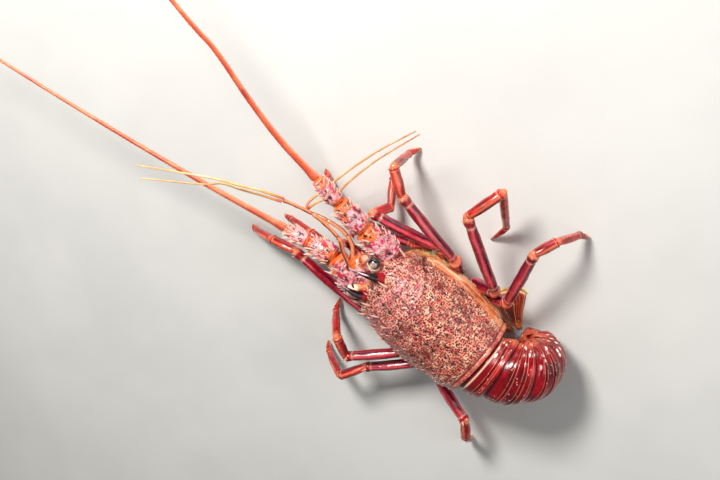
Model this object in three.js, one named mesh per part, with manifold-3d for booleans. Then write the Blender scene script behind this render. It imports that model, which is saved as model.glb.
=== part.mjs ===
// Spiny lobster, life size, standing with its tail curled under the body.
// Millimetres, +Z up. The head points to -Y and the animal's left is +X.
// A place is written forward, left, up: forward from the carapace's rear margin, up from the floor.
import * as THREE from "three";
import { mergeVertices } from "three/addons/utils/BufferGeometryUtils.js";
import Module from "manifold-3d";

// Driving dimensions
const CARAPACE_LENGTH = 108;
const CARAPACE_HALF_WIDTH = 41.5;
const CARAPACE_TOP = 82;
const BREAST_LEVEL = 17;
const SHELL_EDGE_LEVEL = 27;
const GAP = 0.3;

const TAIL_RADIUS = 38;
const TAIL_STRAIGHT = 22;
const SOMITE_LENGTHS = [17, 27, 26, 24, 23, 24];
const TAIL_HALF_WIDTH = 29;
const TAIL_DEPTH = 27;
const TAIL_SIDE_SLOPE = 0.35;
const TAIL_SWING_RADIUS = 110;
const FAN_RADIUS = 64;
const FAN_THICKNESS = 2.2;

const EYE_RADIUS = 5.1;
const HORN_LENGTH_STEPS = [0, 0.3, 0.55, 0.8, 1];
const FLAGELLUM_RADIUS = 3.1;
const FLAGELLUM_TIP_RADIUS = 0.7;

const TRUNK_SPINE_RADIUS = 1.9;
const ANTENNA_SPINE_SHARE = 0.74;
const ANTENNA_SPINE_LEAN = 1.1;
const ANTENNA_SPINE_LENGTH = 7.5;
const ANTENNA_SPINE_RADIUS = 1.7;

const EYE_STALK_SIDES = 8;
const BODY_SIDES = 22;
const LIMB_SIDES = 7;

// Materials
const finish = (color, roughness) => new THREE.MeshStandardMaterial({ color, roughness, metalness: 0 });
const CARAPACE_SHELL = finish(0xb5483c, 0.45);
const BELLY_SHELL = finish(0xd98a5a, 0.5);
const TAIL_SHELL = finish(0x7a1420, 0.25);
const FAN_SHELL = finish(0xc9662a, 0.4);
const LEG_SHELL = finish(0x8c2340, 0.35);
const LEG_TIP_SHELL = finish(0xb42a1c, 0.4);
const HORN_SHELL = finish(0x2a0a18, 0.25);
const EYE_GLOSS = finish(0x080808, 0.08);
const ANTENNA_SHELL = finish(0xc98a9a, 0.45);
const WHIP_SHELL = finish(0xd9764a, 0.5);
const FEELER_SHELL = finish(0xe6b46a, 0.5);

const wasm = await Module();
wasm.setup();

const model = new THREE.Group();

const at = (forward, left, up) => new THREE.Vector3(left, -forward, up);

const weld = (geometry) => {
  geometry.deleteAttribute("normal");
  geometry.deleteAttribute("uv");
  return mergeVertices(geometry, 1e-4);
};

const solid = (geometry) => {
  const welded = weld(geometry);
  const vertProperties = new Float32Array(welded.attributes.position.array);
  const triVerts = new Uint32Array(welded.index.array);
  return new wasm.Manifold(new wasm.Mesh({ numProp: 3, vertProperties, triVerts }));
};

const geometryOf = (body) => {
  const mesh = body.getMesh();
  const geometry = new THREE.BufferGeometry();
  geometry.setAttribute("position", new THREE.BufferAttribute(new Float32Array(mesh.vertProperties), 3));
  geometry.setIndex(new THREE.BufferAttribute(new Uint32Array(mesh.triVerts), 1));
  geometry.computeVertexNormals();
  return geometry;
};

// A box that spans the whole animal between two heights
const layer = (low, high) => {
  const box = new THREE.BoxGeometry(2000, 2000, high - low);
  box.translate(0, 0, (low + high) / 2);
  return solid(box);
};
const ABOVE_FLOOR = layer(0, 500);

const addNode = (name, body, material) => {
  const mesh = new THREE.Mesh(geometryOf(body.intersect(ABOVE_FLOOR)), material);
  mesh.name = name;
  model.add(mesh);
};

const both = (build) => {
  build("L", 1);
  build("R", -1);
};

// Smooth value between stated pairs of place and value
const graded = (pairs) => (place) => {
  const last = pairs.length - 1;
  if (place <= pairs[0][0]) return pairs[0][1];
  if (place >= pairs[last][0]) return pairs[last][1];
  const upper = pairs.findIndex(([start]) => start > place);
  const [startPlace, startValue] = pairs[upper - 1];
  const [endPlace, endValue] = pairs[upper];
  const ease = THREE.MathUtils.smoothstep(place, startPlace, endPlace);
  return THREE.MathUtils.lerp(startValue, endValue, ease);
};

// A closed skin over rings: place(row, angle, share) gives each point, share being 0 at a cap's centre
const skin = (sides, rows, place) => {
  const geometry = new THREE.CylinderGeometry(1, 1, 1, sides, rows - 1);
  const position = geometry.attributes.position;
  for (let i = 0; i < position.count; i += 1) {
    const row = Math.round((0.5 - position.getY(i)) * (rows - 1));
    const share = Math.hypot(position.getX(i), position.getZ(i));
    const angle = Math.atan2(position.getX(i), position.getZ(i));
    const point = place(row, angle, share > 0.5 ? 1 : 0);
    position.setXYZ(i, point.x, point.y, point.z);
  }
  const body = solid(geometry);
  if (body.volume() > 0) return body;
  const turned = weld(geometry.clone());
  turned.index.array.reverse();
  return solid(turned);
};

// A tapered limb through stations of a point, a radius and a height-to-width ratio
const limb = (stations, sides = LIMB_SIDES, grow = 0) => {
  const frames = [];
  stations.forEach(({ point }, i) => {
    const before = stations[Math.max(i - 1, 0)].point;
    const after = stations[Math.min(i + 1, stations.length - 1)].point;
    const along = after.clone().sub(before).normalize();
    const previous = i ? frames[i - 1].across : new THREE.Vector3().crossVectors(along, at(0, 0, 1));
    if (previous.length() < 0.05) previous.copy(at(0, 1, 0));
    const across = previous.clone().addScaledVector(along, -previous.dot(along)).normalize();
    frames.push({ across, over: new THREE.Vector3().crossVectors(along, across) });
  });
  return skin(sides, stations.length, (row, angle, share) => {
    const { point, radius, tall = 1 } = stations[row];
    const reach = (radius + grow) * share;
    return point
      .clone()
      .addScaledVector(frames[row].across, reach * Math.sin(angle))
      .addScaledVector(frames[row].over, reach * tall * Math.cos(angle));
  });
};

const station = (point, radius, tall = 1) => ({ point, radius, tall });
const between = (start, end, share) => start.clone().lerp(end, share);

// A spine whose root is sunk a little into what it grows from
const spine = (root, direction, length, radius) => {
  const cone = new THREE.ConeGeometry(radius, length, 4);
  cone.translate(0, length / 2 - 1, 0);
  const upright = new THREE.Vector3(0, 1, 0);
  const turn = new THREE.Quaternion().setFromUnitVectors(upright, direction.clone().normalize());
  cone.applyQuaternion(turn);
  cone.translate(root.x, root.y, root.z);
  return solid(cone);
};

// Trunk: carapace above, breast plate below, both from one rounded body
const trunkHalfWidth = graded([
  [0, 35], [14, 38], [45, CARAPACE_HALF_WIDTH], [70, 40], [92, 33], [102, 26], [CARAPACE_LENGTH, 19],
]);
const trunkTop = graded([
  [0, 77.5], [12, 80], [40, CARAPACE_TOP], [66, 82], [84, 78], [98, 72], [104, 67], [CARAPACE_LENGTH, 59],
]);
const widestLevel = graded([[0, 44], [30, 39], [75, 38], [CARAPACE_LENGTH, 46]]);
const trunkBottom = graded([[0, 21], [10, BREAST_LEVEL], [80, BREAST_LEVEL + 1], [CARAPACE_LENGTH, 31]]);
const TRUNK_ROWS = 13;

const trunkPoint = (forward, angle, grow) => {
  const side = Math.sin(angle);
  const rise = Math.cos(angle);
  const widest = widestLevel(forward);
  const tall = rise > 0 ? trunkTop(forward) - widest : widest - trunkBottom(forward);
  const left = (trunkHalfWidth(forward) + grow) * Math.sign(side) * Math.abs(side) ** 0.88;
  const up = widest + (tall + grow) * Math.sign(rise) * Math.abs(rise) ** 0.94;
  return at(forward, left, up);
};

const trunk = (grow) =>
  skin(BODY_SIDES, TRUNK_ROWS, (row, angle, share) => {
    const forward = THREE.MathUtils.lerp(-grow, CARAPACE_LENGTH + grow, row / (TRUNK_ROWS - 1));
    if (share === 0) return at(forward, 0, 48);
    return trunkPoint(forward, angle, grow);
  });

const trunkSolid = trunk(0);
const trunkClear = trunk(GAP);

// Strong spines in two rows on each side behind the eyes, pointing forward and up
let carapace = trunkSolid.intersect(layer(SHELL_EDGE_LEVEL + GAP / 2, 500));
const SPINE_ROWS = [
  { angle: 0.3, places: [90, 78, 66], length: 8 },
  { angle: 0.85, places: [98, 88, 76], length: 9 },
];
both((side, sign) => {
  SPINE_ROWS.forEach(({ angle, places, length }) => {
    places.forEach((forward) => {
      const root = trunkPoint(forward, sign * angle, -0.5);
      const direction = at(1, sign * Math.sin(angle) * 0.9, Math.cos(angle) * 0.9);
      carapace = carapace.add(spine(root, direction, length, TRUNK_SPINE_RADIUS));
    });
  });
});
addNode("carapace", carapace, CARAPACE_SHELL);
addNode("breast_plate", trunkSolid.intersect(layer(0, SHELL_EDGE_LEVEL - GAP / 2)), BELLY_SHELL);

// Frontal horns over the eyes
const hornPath = (sign) =>
  new THREE.QuadraticBezierCurve3(
    at(98, sign * 10.5, 63.5),
    at(106, sign * 11, 77),
    at(119, sign * 8.8, 80),
  );
const hornRadius = graded([[0, 5.2], [0.3, 4], [0.55, 2.5], [0.8, 1.7], [1, 0.5]]);
const horn = (sign, grow) => {
  const path = hornPath(sign);
  const stations = HORN_LENGTH_STEPS.map((share) => station(path.getPoint(share), hornRadius(share), 1.15));
  return limb(stations, 8, grow);
};
both((side, sign) => {
  addNode(`horn_${side}`, horn(sign, 0).subtract(trunkClear), HORN_SHELL);
});

// Eyes on short stalks, below and outside the horns
const eyeCentre = (sign) => at(112, sign * 16.4, 66);
const eyeBall = (sign, grow) => {
  const ball = new THREE.SphereGeometry(EYE_RADIUS + grow, 12, 8);
  const centre = eyeCentre(sign);
  ball.translate(centre.x, centre.y, centre.z);
  return solid(ball);
};
const eyeStalk = (sign, grow) =>
  limb(
    [
      station(at(101, sign * 6, 60), 3.8),
      station(at(107, sign * 10, 63), 3.6),
      station(eyeCentre(sign), 3.4),
    ],
    EYE_STALK_SIDES,
    grow,
  );
both((side, sign) => {
  let stalk = eyeStalk(sign, 0).subtract(trunkClear);
  stalk = stalk.subtract(eyeBall(sign, GAP)).subtract(horn(sign, GAP));
  addNode(`eye_${side}`, eyeBall(sign, 0).subtract(horn(sign, GAP)), EYE_GLOSS);
  addNode(`eye_stalk_${side}`, stalk, FAN_SHELL);
});

// Antennae: three thick spiny segments, then a long stiff whip in two lengths
const ANTENNAE = {
  R: {
    joints: [at(106, -23, 47), at(135.2, -25.4, 52), at(163, -33.2, 58), at(187.2, -40.2, 65)],
    whip: [
      at(187.2, -40.2, 65),
      at(225.9, -50.1, 73),
      at(260.1, -63.6, 81),
      at(299, -81.4, 90),
      at(331.2, -90.9, 97),
      at(445, -124.5, 112),
      at(540, -152.5, 120),
    ],
  },
  L: {
    joints: [at(106, 22, 47), at(138, 13.5, 47), at(162, 19, 46), at(184, 25, 44)],
    whip: [at(184, 25, 44), at(270, 38, 54), at(360, 50, 63), at(450, 61, 70), at(548, 72, 76)],
  },
};
const SEGMENT_RADII = [[10.2, 11.2, 9.2], [8.9, 9.4, 7.4], [6.4, 6.7, 5.2]];
const SPINE_ANGLES = [-0.9, 0, 0.9];
const WHIP_STEPS = 10;

const segmentStations = (start, end, radii) => [
  station(between(start, end, 0), radii[0] * 0.82),
  station(between(start, end, 0.12), radii[0]),
  station(between(start, end, 0.45), radii[1]),
  station(between(start, end, 0.86), radii[2]),
  station(between(start, end, 1), radii[2] * 0.8),
];

const antennaSegment = (side, index, grow) => {
  const { joints } = ANTENNAE[side];
  return limb(segmentStations(joints[index], joints[index + 1], SEGMENT_RADII[index]), 9, grow);
};

const segmentSpines = (side, index) => {
  const { joints } = ANTENNAE[side];
  const start = joints[index];
  const end = joints[index + 1];
  const along = end.clone().sub(start).normalize();
  const across = new THREE.Vector3().crossVectors(along, at(0, 0, 1)).normalize();
  const over = new THREE.Vector3().crossVectors(across, along);
  return SPINE_ANGLES.map((angle) => {
    const out = across.clone().multiplyScalar(Math.sin(angle)).addScaledVector(over, Math.cos(angle));
    const root = between(start, end, ANTENNA_SPINE_SHARE).addScaledVector(out, SEGMENT_RADII[index][2]);
    const leaning = out.clone().addScaledVector(along, ANTENNA_SPINE_LEAN);
    return spine(root, leaning, ANTENNA_SPINE_LENGTH, ANTENNA_SPINE_RADIUS);
  });
};

const whipRadius = (share) => THREE.MathUtils.lerp(FLAGELLUM_RADIUS, FLAGELLUM_TIP_RADIUS, share ** 0.6);
const whipLength = (path, from, to, radius, steps, sides) => {
  const stations = [];
  for (let i = 0; i <= steps; i += 1) {
    const share = THREE.MathUtils.lerp(from, to, i / steps);
    stations.push(station(path.getPointAt(share), radius(share)));
  }
  return limb(stations, sides);
};

Object.keys(ANTENNAE).forEach((side) => {
  SEGMENT_RADII.forEach((radii, index) => {
    let segment = antennaSegment(side, index, 0);
    segmentSpines(side, index).forEach((thorn) => {
      segment = segment.add(thorn);
    });
    segment = index ? segment.subtract(antennaSegment(side, index - 1, GAP)) : segment.subtract(trunkClear);
    addNode(`antenna_${side}_segment_${index + 1}`, segment, ANTENNA_SHELL);
  });
  const path = new THREE.CatmullRomCurve3(ANTENNAE[side].whip);
  const gapShare = GAP / path.getLength();
  const root = whipLength(path, gapShare, 0.45, whipRadius, WHIP_STEPS, LIMB_SIDES);
  addNode(`antenna_${side}_whip_base`, root.subtract(antennaSegment(side, 2, GAP)), WHIP_SHELL);
  const tip = whipLength(path, 0.45 + gapShare, 1, whipRadius, WHIP_STEPS, LIMB_SIDES);
  addNode(`antenna_${side}_whip_tip`, tip, WHIP_SHELL);
});

// Plate between the antennae that carries the antennules
const headPlate = (grow) =>
  limb(
    [
      station(at(104, 0, 48), 10, 1.1),
      station(at(116, 0, 51), 9.5, 1.1),
      station(at(124, 0, 54), 7.5),
      station(at(127.5 + grow, 0, 56), 5.5, 0.9),
    ],
    10,
    grow,
  );
let plate = headPlate(0).subtract(trunkClear);
both((side, sign) => {
  plate = plate.subtract(antennaSegment(side, 0, GAP));
  plate = plate.subtract(eyeStalk(sign, GAP)).subtract(eyeBall(sign, GAP));
});
addNode("antennule_plate", plate, BELLY_SHELL);

// Antennules: thin jointed stems with two fine whips each
const ANTENNULES = {
  L: {
    stem: [
      at(128.3, 3.4, 57),
      at(137, -4, 61),
      at(146, -11.5, 63),
      at(165.9, -15.3, 66),
      at(177.7, -14.9, 68),
      at(196.7, -13.4, 76),
    ],
    inner: [
      at(196.7, -15.1, 76.4),
      at(213.9, -12.8, 86),
      at(227.5, -8.5, 92),
      at(240, -4.8, 97),
      at(255.2, 3.4, 99),
      at(300, 32, 101),
    ],
    outer: [
      at(196.7, -11.7, 76.2),
      at(211.1, -7.5, 81),
      at(226.9, -2.3, 86),
      at(239.9, 1.7, 90),
      at(253.2, 13.6, 92),
      at(294, 44, 94),
    ],
  },
  R: {
    stem: [
      at(128.3, -3.4, 56),
      at(135.3, -11.2, 56),
      at(146.7, -15.4, 57),
      at(162.7, -13.5, 57),
      at(179, -7.5, 56),
    ],
    inner: [
      at(179.4, -6.2, 55.6),
      at(177.5, -14, 48),
      at(170, -27, 40),
      at(167.5, -45.3, 42),
      at(161, -77.4, 49),
      at(148, -120.7, 60),
    ],
    outer: [
      at(180, -8.9, 56),
      at(182, -14, 51.5),
      at(178, -30.1, 40),
      at(173, -53.5, 43),
      at(163.9, -85.9, 50),
      at(151.7, -119.3, 57),
    ],
  },
};
const stemRadius = graded([[0, 2.2], [0.5, 1.9], [1, 1.6]]);
const feelerRadius = graded([[0, 1.15], [1, 0.5]]);
const FEELER_SIDES = 6;

Object.entries(ANTENNULES).forEach(([side, { stem, inner, outer }]) => {
  const stemPath = new THREE.CatmullRomCurve3(stem);
  const stemSolid = whipLength(stemPath, 0, 1, stemRadius, 8, FEELER_SIDES);
  addNode(`antennule_${side}_stem`, stemSolid.subtract(headPlate(GAP)), FEELER_SHELL);
  const stemClear = limb([station(stemPath.getPointAt(0.9), 2.1), station(stemPath.getPointAt(1), 2)]);
  const innerPath = new THREE.CatmullRomCurve3(inner);
  const innerWhip = whipLength(innerPath, 0, 1, feelerRadius, 10, FEELER_SIDES);
  addNode(`antennule_${side}_inner`, innerWhip.subtract(stemClear), FEELER_SHELL);
  const outerPath = new THREE.CatmullRomCurve3(outer);
  const outerWhip = whipLength(outerPath, 0, 1, feelerRadius, 10, FEELER_SIDES);
  addNode(`antennule_${side}_outer`, outerWhip.subtract(stemClear), FEELER_SHELL);
});

// Mouth feet folded forward under the head
both((side, sign) => {
  const foot = limb([
    station(at(92, sign * 8, 23), 4.6),
    station(at(104, sign * 10.5, 18), 4.8),
    station(at(116, sign * 11.5, 18.5), 4.2),
    station(at(134, sign * 10, 24), 3.6),
    station(at(141, sign * 7, 32), 2.9),
    station(at(136, sign * 5, 38), 1.6),
  ]);
  addNode(`mouth_foot_${side}`, foot.subtract(trunkClear), LEG_TIP_SHELL);
});

// Walking legs: hip place, then thigh start, knee, wrist, foot joint and toe as forward, left, up
const HIP_INNER = 19;
const HIP_OUTER = 35;
const HIP_LEVEL = 19;
const LEGS = {
  R1: { hip: 88, pose: [[98, -29, 24], [144, -15, 28], [166, -14, 23], [186, -16, 6], [191, -17, 0]] },
  R2: { hip: 72, pose: [[77, -45, 29], [138, -33, 36], [130, -39, 19], [144, -54, 6], [149, -60, 0]] },
  R3: { hip: 55, pose: [[64, -47, 35], [129, -69, 52], [148, -84, 53], [146, -82, 10], [142, -86, 0]] },
  R4: { hip: 38, pose: [[25, -49, 35], [82, -92, 54], [74, -123, 49], [50, -87, 13], [51, -66, 0]] },
  R5: { hip: 21, pose: [[12, -48, 34], [26, -102, 50], [19, -117, 41], [5, -122, 12], [-3, -120, 0]] },
  L1: { hip: 88, pose: [[98, 30, 24], [146, 22, 27], [168, 26, 22], [190, 38, 6], [195, 42, 0]] },
  L2: { hip: 72, pose: [[86, 45, 31], [168, 42, 34], [189, 51, 29], [208, 68, 8], [212, 71, 0]] },
  L3: { hip: 55, pose: [[43, 48, 35], [78, 84, 44], [95, 70, 51], [109, 77, 10], [112, 72, 0]] },
  L4: { hip: 38, pose: [[26, 49, 29], [59, 86, 35], [70, 108, 38], [90, 116, 9], [95, 115, 0]] },
  L5: { hip: 21, pose: [[12, 47, 33], [-32, 58, 42], [-44, 74, 36], [-54, 92, 9], [-57, 94, 0]] },
};
const THIGH_RADIUS = 4.4;

const legPoints = (name) => LEGS[name].pose.map((place) => at(...place));

const upperLeg = (name, grow) => {
  const sign = name.startsWith("L") ? 1 : -1;
  const [thigh, knee] = legPoints(name);
  const { hip } = LEGS[name];
  const socket = at(hip, sign * HIP_INNER, HIP_LEVEL);
  const collar = at(hip, sign * HIP_OUTER, HIP_LEVEL);
  return limb(
    [
      station(socket, 6.2),
      station(between(socket, collar, 0.6), 6.9),
      station(collar, 5.6),
      station(between(collar, thigh, 0.5), 5.2),
      station(thigh, 4.9),
      station(between(thigh, knee, 0.14), THIGH_RADIUS * 0.88),
      station(between(thigh, knee, 0.55), THIGH_RADIUS),
      station(between(thigh, knee, 0.9), THIGH_RADIUS * 0.92),
      station(knee, THIGH_RADIUS * 0.86),
    ],
    LIMB_SIDES,
    grow,
  );
};

const lowerLeg = (name) => {
  const [, knee, wrist, ankle, toe] = legPoints(name);
  return limb([
    station(knee, 3.2),
    station(between(knee, wrist, 0.3), 4.2),
    station(between(knee, wrist, 0.85), 4.1),
    station(wrist, 3.9),
    station(between(wrist, ankle, 0.18), 3.1),
    station(between(wrist, ankle, 0.6), 3.3),
    station(ankle, 2.7),
    station(between(ankle, toe, 0.55), 1.9),
    station(toe.clone().setZ(0.6), 1.2),
  ]);
};

Object.keys(LEGS).forEach((name) => {
  addNode(`leg_${name}_upper`, upperLeg(name, 0).subtract(trunkClear), LEG_SHELL);
  addNode(`leg_${name}_lower`, lowerLeg(name).subtract(upperLeg(name, GAP)), LEG_TIP_SHELL);
});

// Tail: six overlapping rings curled down and forward under the body, then the fan flat on the floor
const tailWidth = graded([[0, TAIL_HALF_WIDTH], [45, TAIL_HALF_WIDTH], [110, 26], [141, 20]]);
const tailDepth = graded([[0, TAIL_DEPTH], [60, TAIL_DEPTH], [115, 21], [141, 12]]);

// The tail slants to the animal's right, and behind the carapace it also bends that way on a level arc
const swung = (forward, left, up) => {
  const slant = forward * TAIL_SIDE_SLOPE;
  if (forward > 0) return at(forward, left + slant, up);
  const turn = -forward / TAIL_SWING_RADIUS;
  const reach = TAIL_SWING_RADIUS + left;
  return at(-reach * Math.sin(turn), reach * Math.cos(turn) - TAIL_SWING_RADIUS + slant, up);
};

const tailPoint = (run, left, depth) => {
  if (run < TAIL_STRAIGHT) return swung(-run, left, 2 * TAIL_RADIUS - depth);
  const turn = (run - TAIL_STRAIGHT) / TAIL_RADIUS;
  const reach = TAIL_RADIUS - depth;
  return swung(-TAIL_STRAIGHT - reach * Math.sin(turn), left, TAIL_RADIUS + reach * Math.cos(turn));
};

// Each ring is lower at its front edge, where the ring before it overlaps it
const RING_ROWS = [0, 0.2, 0.5, 0.85, 1];
const RING_SINK = [1.6, 0.9, 0.3, -0.5, -0.5];
const BELLY_SWELL = 3;

const tailRing = (start, length) =>
  skin(BODY_SIDES, RING_ROWS.length, (row, angle, share) => {
    const run = start + GAP + (length - GAP) * RING_ROWS[row];
    const depth = tailDepth(run);
    if (share === 0) return tailPoint(run, 0, depth * 0.8);
    const side = Math.sin(angle);
    const rise = Math.cos(angle);
    const half = (tailWidth(run) - RING_SINK[row]) * Math.sign(side) * Math.abs(side) ** 0.94;
    if (rise < 0) return tailPoint(run, half, depth - BELLY_SWELL * rise);
    return tailPoint(run, half, RING_SINK[row] + (depth - RING_SINK[row]) * (1 - rise ** 0.9));
  });

let runStart = 0;
SOMITE_LENGTHS.forEach((length, index) => {
  addNode(`tail_ring_${index + 1}`, tailRing(runStart, length), TAIL_SHELL);
  runStart += length;
});

// Fan blades are sectors about a point just behind the last ring's end, laid flat
const FAN_SETBACK = 7;
const FAN_CENTRE = -TAIL_STRAIGHT - FAN_SETBACK;
const FAN_ROOT = 8;
const lastRing = new THREE.BoxGeometry(400, 400, 100);
lastRing.translate(FAN_SETBACK + GAP - 200, 0, 0);
const LAST_RING = solid(lastRing);
const blade = (low, high, reach) => {
  const shape = new THREE.Shape();
  const round = 0.22 * (high - low);
  const ray = (angle, radius) => new THREE.Vector2(Math.cos(angle), Math.sin(angle)).multiplyScalar(radius);
  const start = ray(low, reach * 0.88);
  const corner = ray(low, reach);
  const cornerEnd = ray(low + round, reach);
  const far = ray(high, reach);
  const farEnd = ray(high, reach * 0.88);
  shape.absarc(0, 0, FAN_ROOT, high, low, true);
  shape.lineTo(start.x, start.y);
  shape.quadraticCurveTo(corner.x, corner.y, cornerEnd.x, cornerEnd.y);
  shape.absarc(0, 0, reach, low + round, high - round, false);
  shape.quadraticCurveTo(far.x, far.y, farEnd.x, farEnd.y);
  const geometry = new THREE.ExtrudeGeometry(shape, {
    depth: FAN_THICKNESS,
    bevelEnabled: false,
    curveSegments: 5,
  });
  const trimmed = geometryOf(solid(geometry).subtract(LAST_RING));
  const position = trimmed.attributes.position;
  for (let i = 0; i < position.count; i += 1) {
    const place = swung(FAN_CENTRE + position.getX(i), position.getY(i), position.getZ(i));
    position.setXYZ(i, place.x, place.y, place.z);
  }
  return solid(trimmed);
};
const degrees = (low, high) => [THREE.MathUtils.degToRad(low), THREE.MathUtils.degToRad(high)];
addNode("tail_fan_middle", blade(...degrees(-14.5, 14.5), FAN_RADIUS), FAN_SHELL);
both((side, sign) => {
  const inner = sign > 0 ? degrees(16, 35.5) : degrees(-35.5, -16);
  const outer = sign > 0 ? degrees(37, 60) : degrees(-60, -37);
  addNode(`tail_fan_inner_${side}`, blade(...inner, FAN_RADIUS + 1), FAN_SHELL);
  addNode(`tail_fan_outer_${side}`, blade(...outer, FAN_RADIUS - 2), FAN_SHELL);
});

// Stand the animal on the origin: the middle of its outline on the floor
const bounds = new THREE.Box3().setFromObject(model);
const centre = bounds.getCenter(new THREE.Vector3());
model.position.set(-centre.x, -centre.y, 0);

export default model;
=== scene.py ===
"""Spiny lobster, life size, standing with its tail curled under the body.

Lengths in the driving dimensions are millimetres; meshes are written in metres.
A place is forward, left, up: forward from the carapace's rear margin, up from the floor.
"""
import math

import bpy
import numpy as np
from mathutils import Matrix, Vector

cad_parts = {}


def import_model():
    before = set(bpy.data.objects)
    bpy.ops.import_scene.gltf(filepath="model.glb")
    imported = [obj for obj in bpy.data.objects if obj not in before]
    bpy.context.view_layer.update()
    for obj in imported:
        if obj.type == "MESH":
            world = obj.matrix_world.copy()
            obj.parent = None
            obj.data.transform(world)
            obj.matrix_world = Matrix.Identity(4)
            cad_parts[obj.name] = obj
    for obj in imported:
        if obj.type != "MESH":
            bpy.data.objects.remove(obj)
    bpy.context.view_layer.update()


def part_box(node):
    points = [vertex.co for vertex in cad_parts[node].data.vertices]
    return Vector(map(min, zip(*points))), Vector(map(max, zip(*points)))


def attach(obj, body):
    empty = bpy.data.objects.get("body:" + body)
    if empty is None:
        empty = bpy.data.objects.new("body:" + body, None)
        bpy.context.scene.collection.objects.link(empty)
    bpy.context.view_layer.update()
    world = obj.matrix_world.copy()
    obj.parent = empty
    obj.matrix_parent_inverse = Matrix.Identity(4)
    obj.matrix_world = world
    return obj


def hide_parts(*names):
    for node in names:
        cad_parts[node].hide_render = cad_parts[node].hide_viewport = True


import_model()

MM = 0.001
SHELL_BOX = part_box("carapace")
MID_X = (SHELL_BOX[0][0] + SHELL_BOX[1][0]) / 2
REAR_Y = SHELL_BOX[1][1]

# Trunk
CARAPACE_LENGTH = 108.0
CARAPACE_HALF_WIDTH = 41.5
CARAPACE_TOP = 82.0
SHELL_EDGE_LEVEL = 27.0

# Tail
TAIL_RADIUS = 38.0
TAIL_STRAIGHT = 22.0
RING_LENGTHS = [17, 27, 26, 24, 23, 24]
TAIL_HALF_WIDTH = 29.0
TAIL_DEPTH = 27.0
TAIL_SIDE_SLOPE = 0.35
TAIL_SWING_RADIUS = 110.0

rng = np.random.default_rng(17)


# Small maths

def smooth(x, low, high):
    """Rises smoothly from 0 at low to 1 at high."""
    t = np.clip((np.asarray(x, float) - low) / (high - low), 0, 1)
    return t * t * (3 - 2 * t)


def graded(pairs):
    """Smooth value between stated pairs of place and value."""
    places = [float(p) for p, _ in pairs]
    values = [float(v) for _, v in pairs]

    def value(place):
        place = np.asarray(place, float)
        out = np.full(place.shape, values[0])
        for i in range(1, len(places)):
            step = smooth(place, places[i - 1], places[i])
            out = np.where(place > places[i - 1], values[i - 1] + (values[i] - values[i - 1]) * step, out)
        return out

    return value


def band(offset, width):
    """Value 1 where an offset is nil, fading to both sides over a width."""
    return np.exp(-((offset / width) ** 2))


def spow(x, power):
    """A power that keeps the sign."""
    return np.sign(x) * np.abs(x) ** power


def unit(v):
    """Vectors of length 1 in the same directions."""
    return v / np.maximum(np.linalg.norm(v, axis=-1, keepdims=True), 1e-9)


HASH_FACTORS = (73856093, 19349663, 83492791)
HASH_SEED_FACTOR = 2654435761


def hashed(cell, seed):
    """A repeatable value from 0 to 1 for each whole-number lattice cell."""
    x, y, z = (cell[..., axis] * factor for axis, factor in enumerate(HASH_FACTORS))
    h = x ^ y ^ z ^ (seed * HASH_SEED_FACTOR)
    h = (h ^ (h >> 13)) * 1274126177
    h = (h ^ (h >> 16)) & 0xFFFFFF
    return h / float(0xFFFFFF)


def noise(points, size, seed=0):
    """Smooth lattice noise from 0 to 1 for an array of points, size in the points' own unit."""
    p = points / size
    base = np.floor(p).astype(np.int64)
    f = p - base
    f = f * f * (3 - 2 * f)
    total = np.zeros(points.shape[:-1])
    for corner in np.ndindex(2, 2, 2):
        c = np.array(corner)
        weight = np.prod(np.where(c == 1, f, 1 - f), axis=-1)
        total += weight * hashed(base + c, seed)
    return total


def cells(points, size, seed=0):
    """Distance to the nearest scattered point, in cell sizes, and that point's own value."""
    p = points / size
    base = np.floor(p).astype(np.int64)
    best = np.full(points.shape[:-1], 9.0)
    own = np.zeros(points.shape[:-1])
    for corner in np.ndindex(3, 3, 3):
        cell = base + np.array(corner) - 1
        spot = cell + np.stack([hashed(cell, seed + k) for k in (1, 2, 3)], axis=-1)
        distance = np.linalg.norm(p - spot, axis=-1)
        nearer = distance < best
        best = np.where(nearer, distance, best)
        own = np.where(nearer, hashed(cell, seed + 4), own)
    return best, own


def domes(points, size, seed, reach, left_out, soft=0.8):
    """Value 1 at the tops of rounded bumps about scattered points, leaving out a share of them."""
    far, own = cells(points, size, seed)
    return smooth(1 - far / reach, 0, soft) * (own > left_out)


def dots(points, size, seed, reach, left_out, soft=0.08):
    """Value 1 in round dots with a soft edge about scattered points, leaving out a share of them."""
    far, own = cells(points, size, seed)
    return smooth(reach - far, 0, soft) * (own > left_out)


def stacked(*parts):
    """Points from their coordinates, which are values or arrays of any matching shapes."""
    return np.stack(np.broadcast_arrays(*parts), axis=-1)


def once_round(columns):
    """The angles of a grid's columns."""
    return np.linspace(0, 2 * np.pi, columns, endpoint=False)[None, :]


def column_at(turn, columns):
    """The column of a grid that is nearest to an angle."""
    return int(round((turn % (2 * np.pi)) / (2 * np.pi) * columns)) % columns


def row_at(share, place):
    """The row of a grid whose share of the length is nearest to a place."""
    return int(np.argmin(np.abs(share - place)))


# Mesh making

def world(places):
    """Forward, left, up in millimetres to the row frame in metres."""
    places = np.asarray(places, float)
    return stacked(MID_X + places[..., 1] * MM, REAR_Y - places[..., 0] * MM, places[..., 2] * MM)


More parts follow.
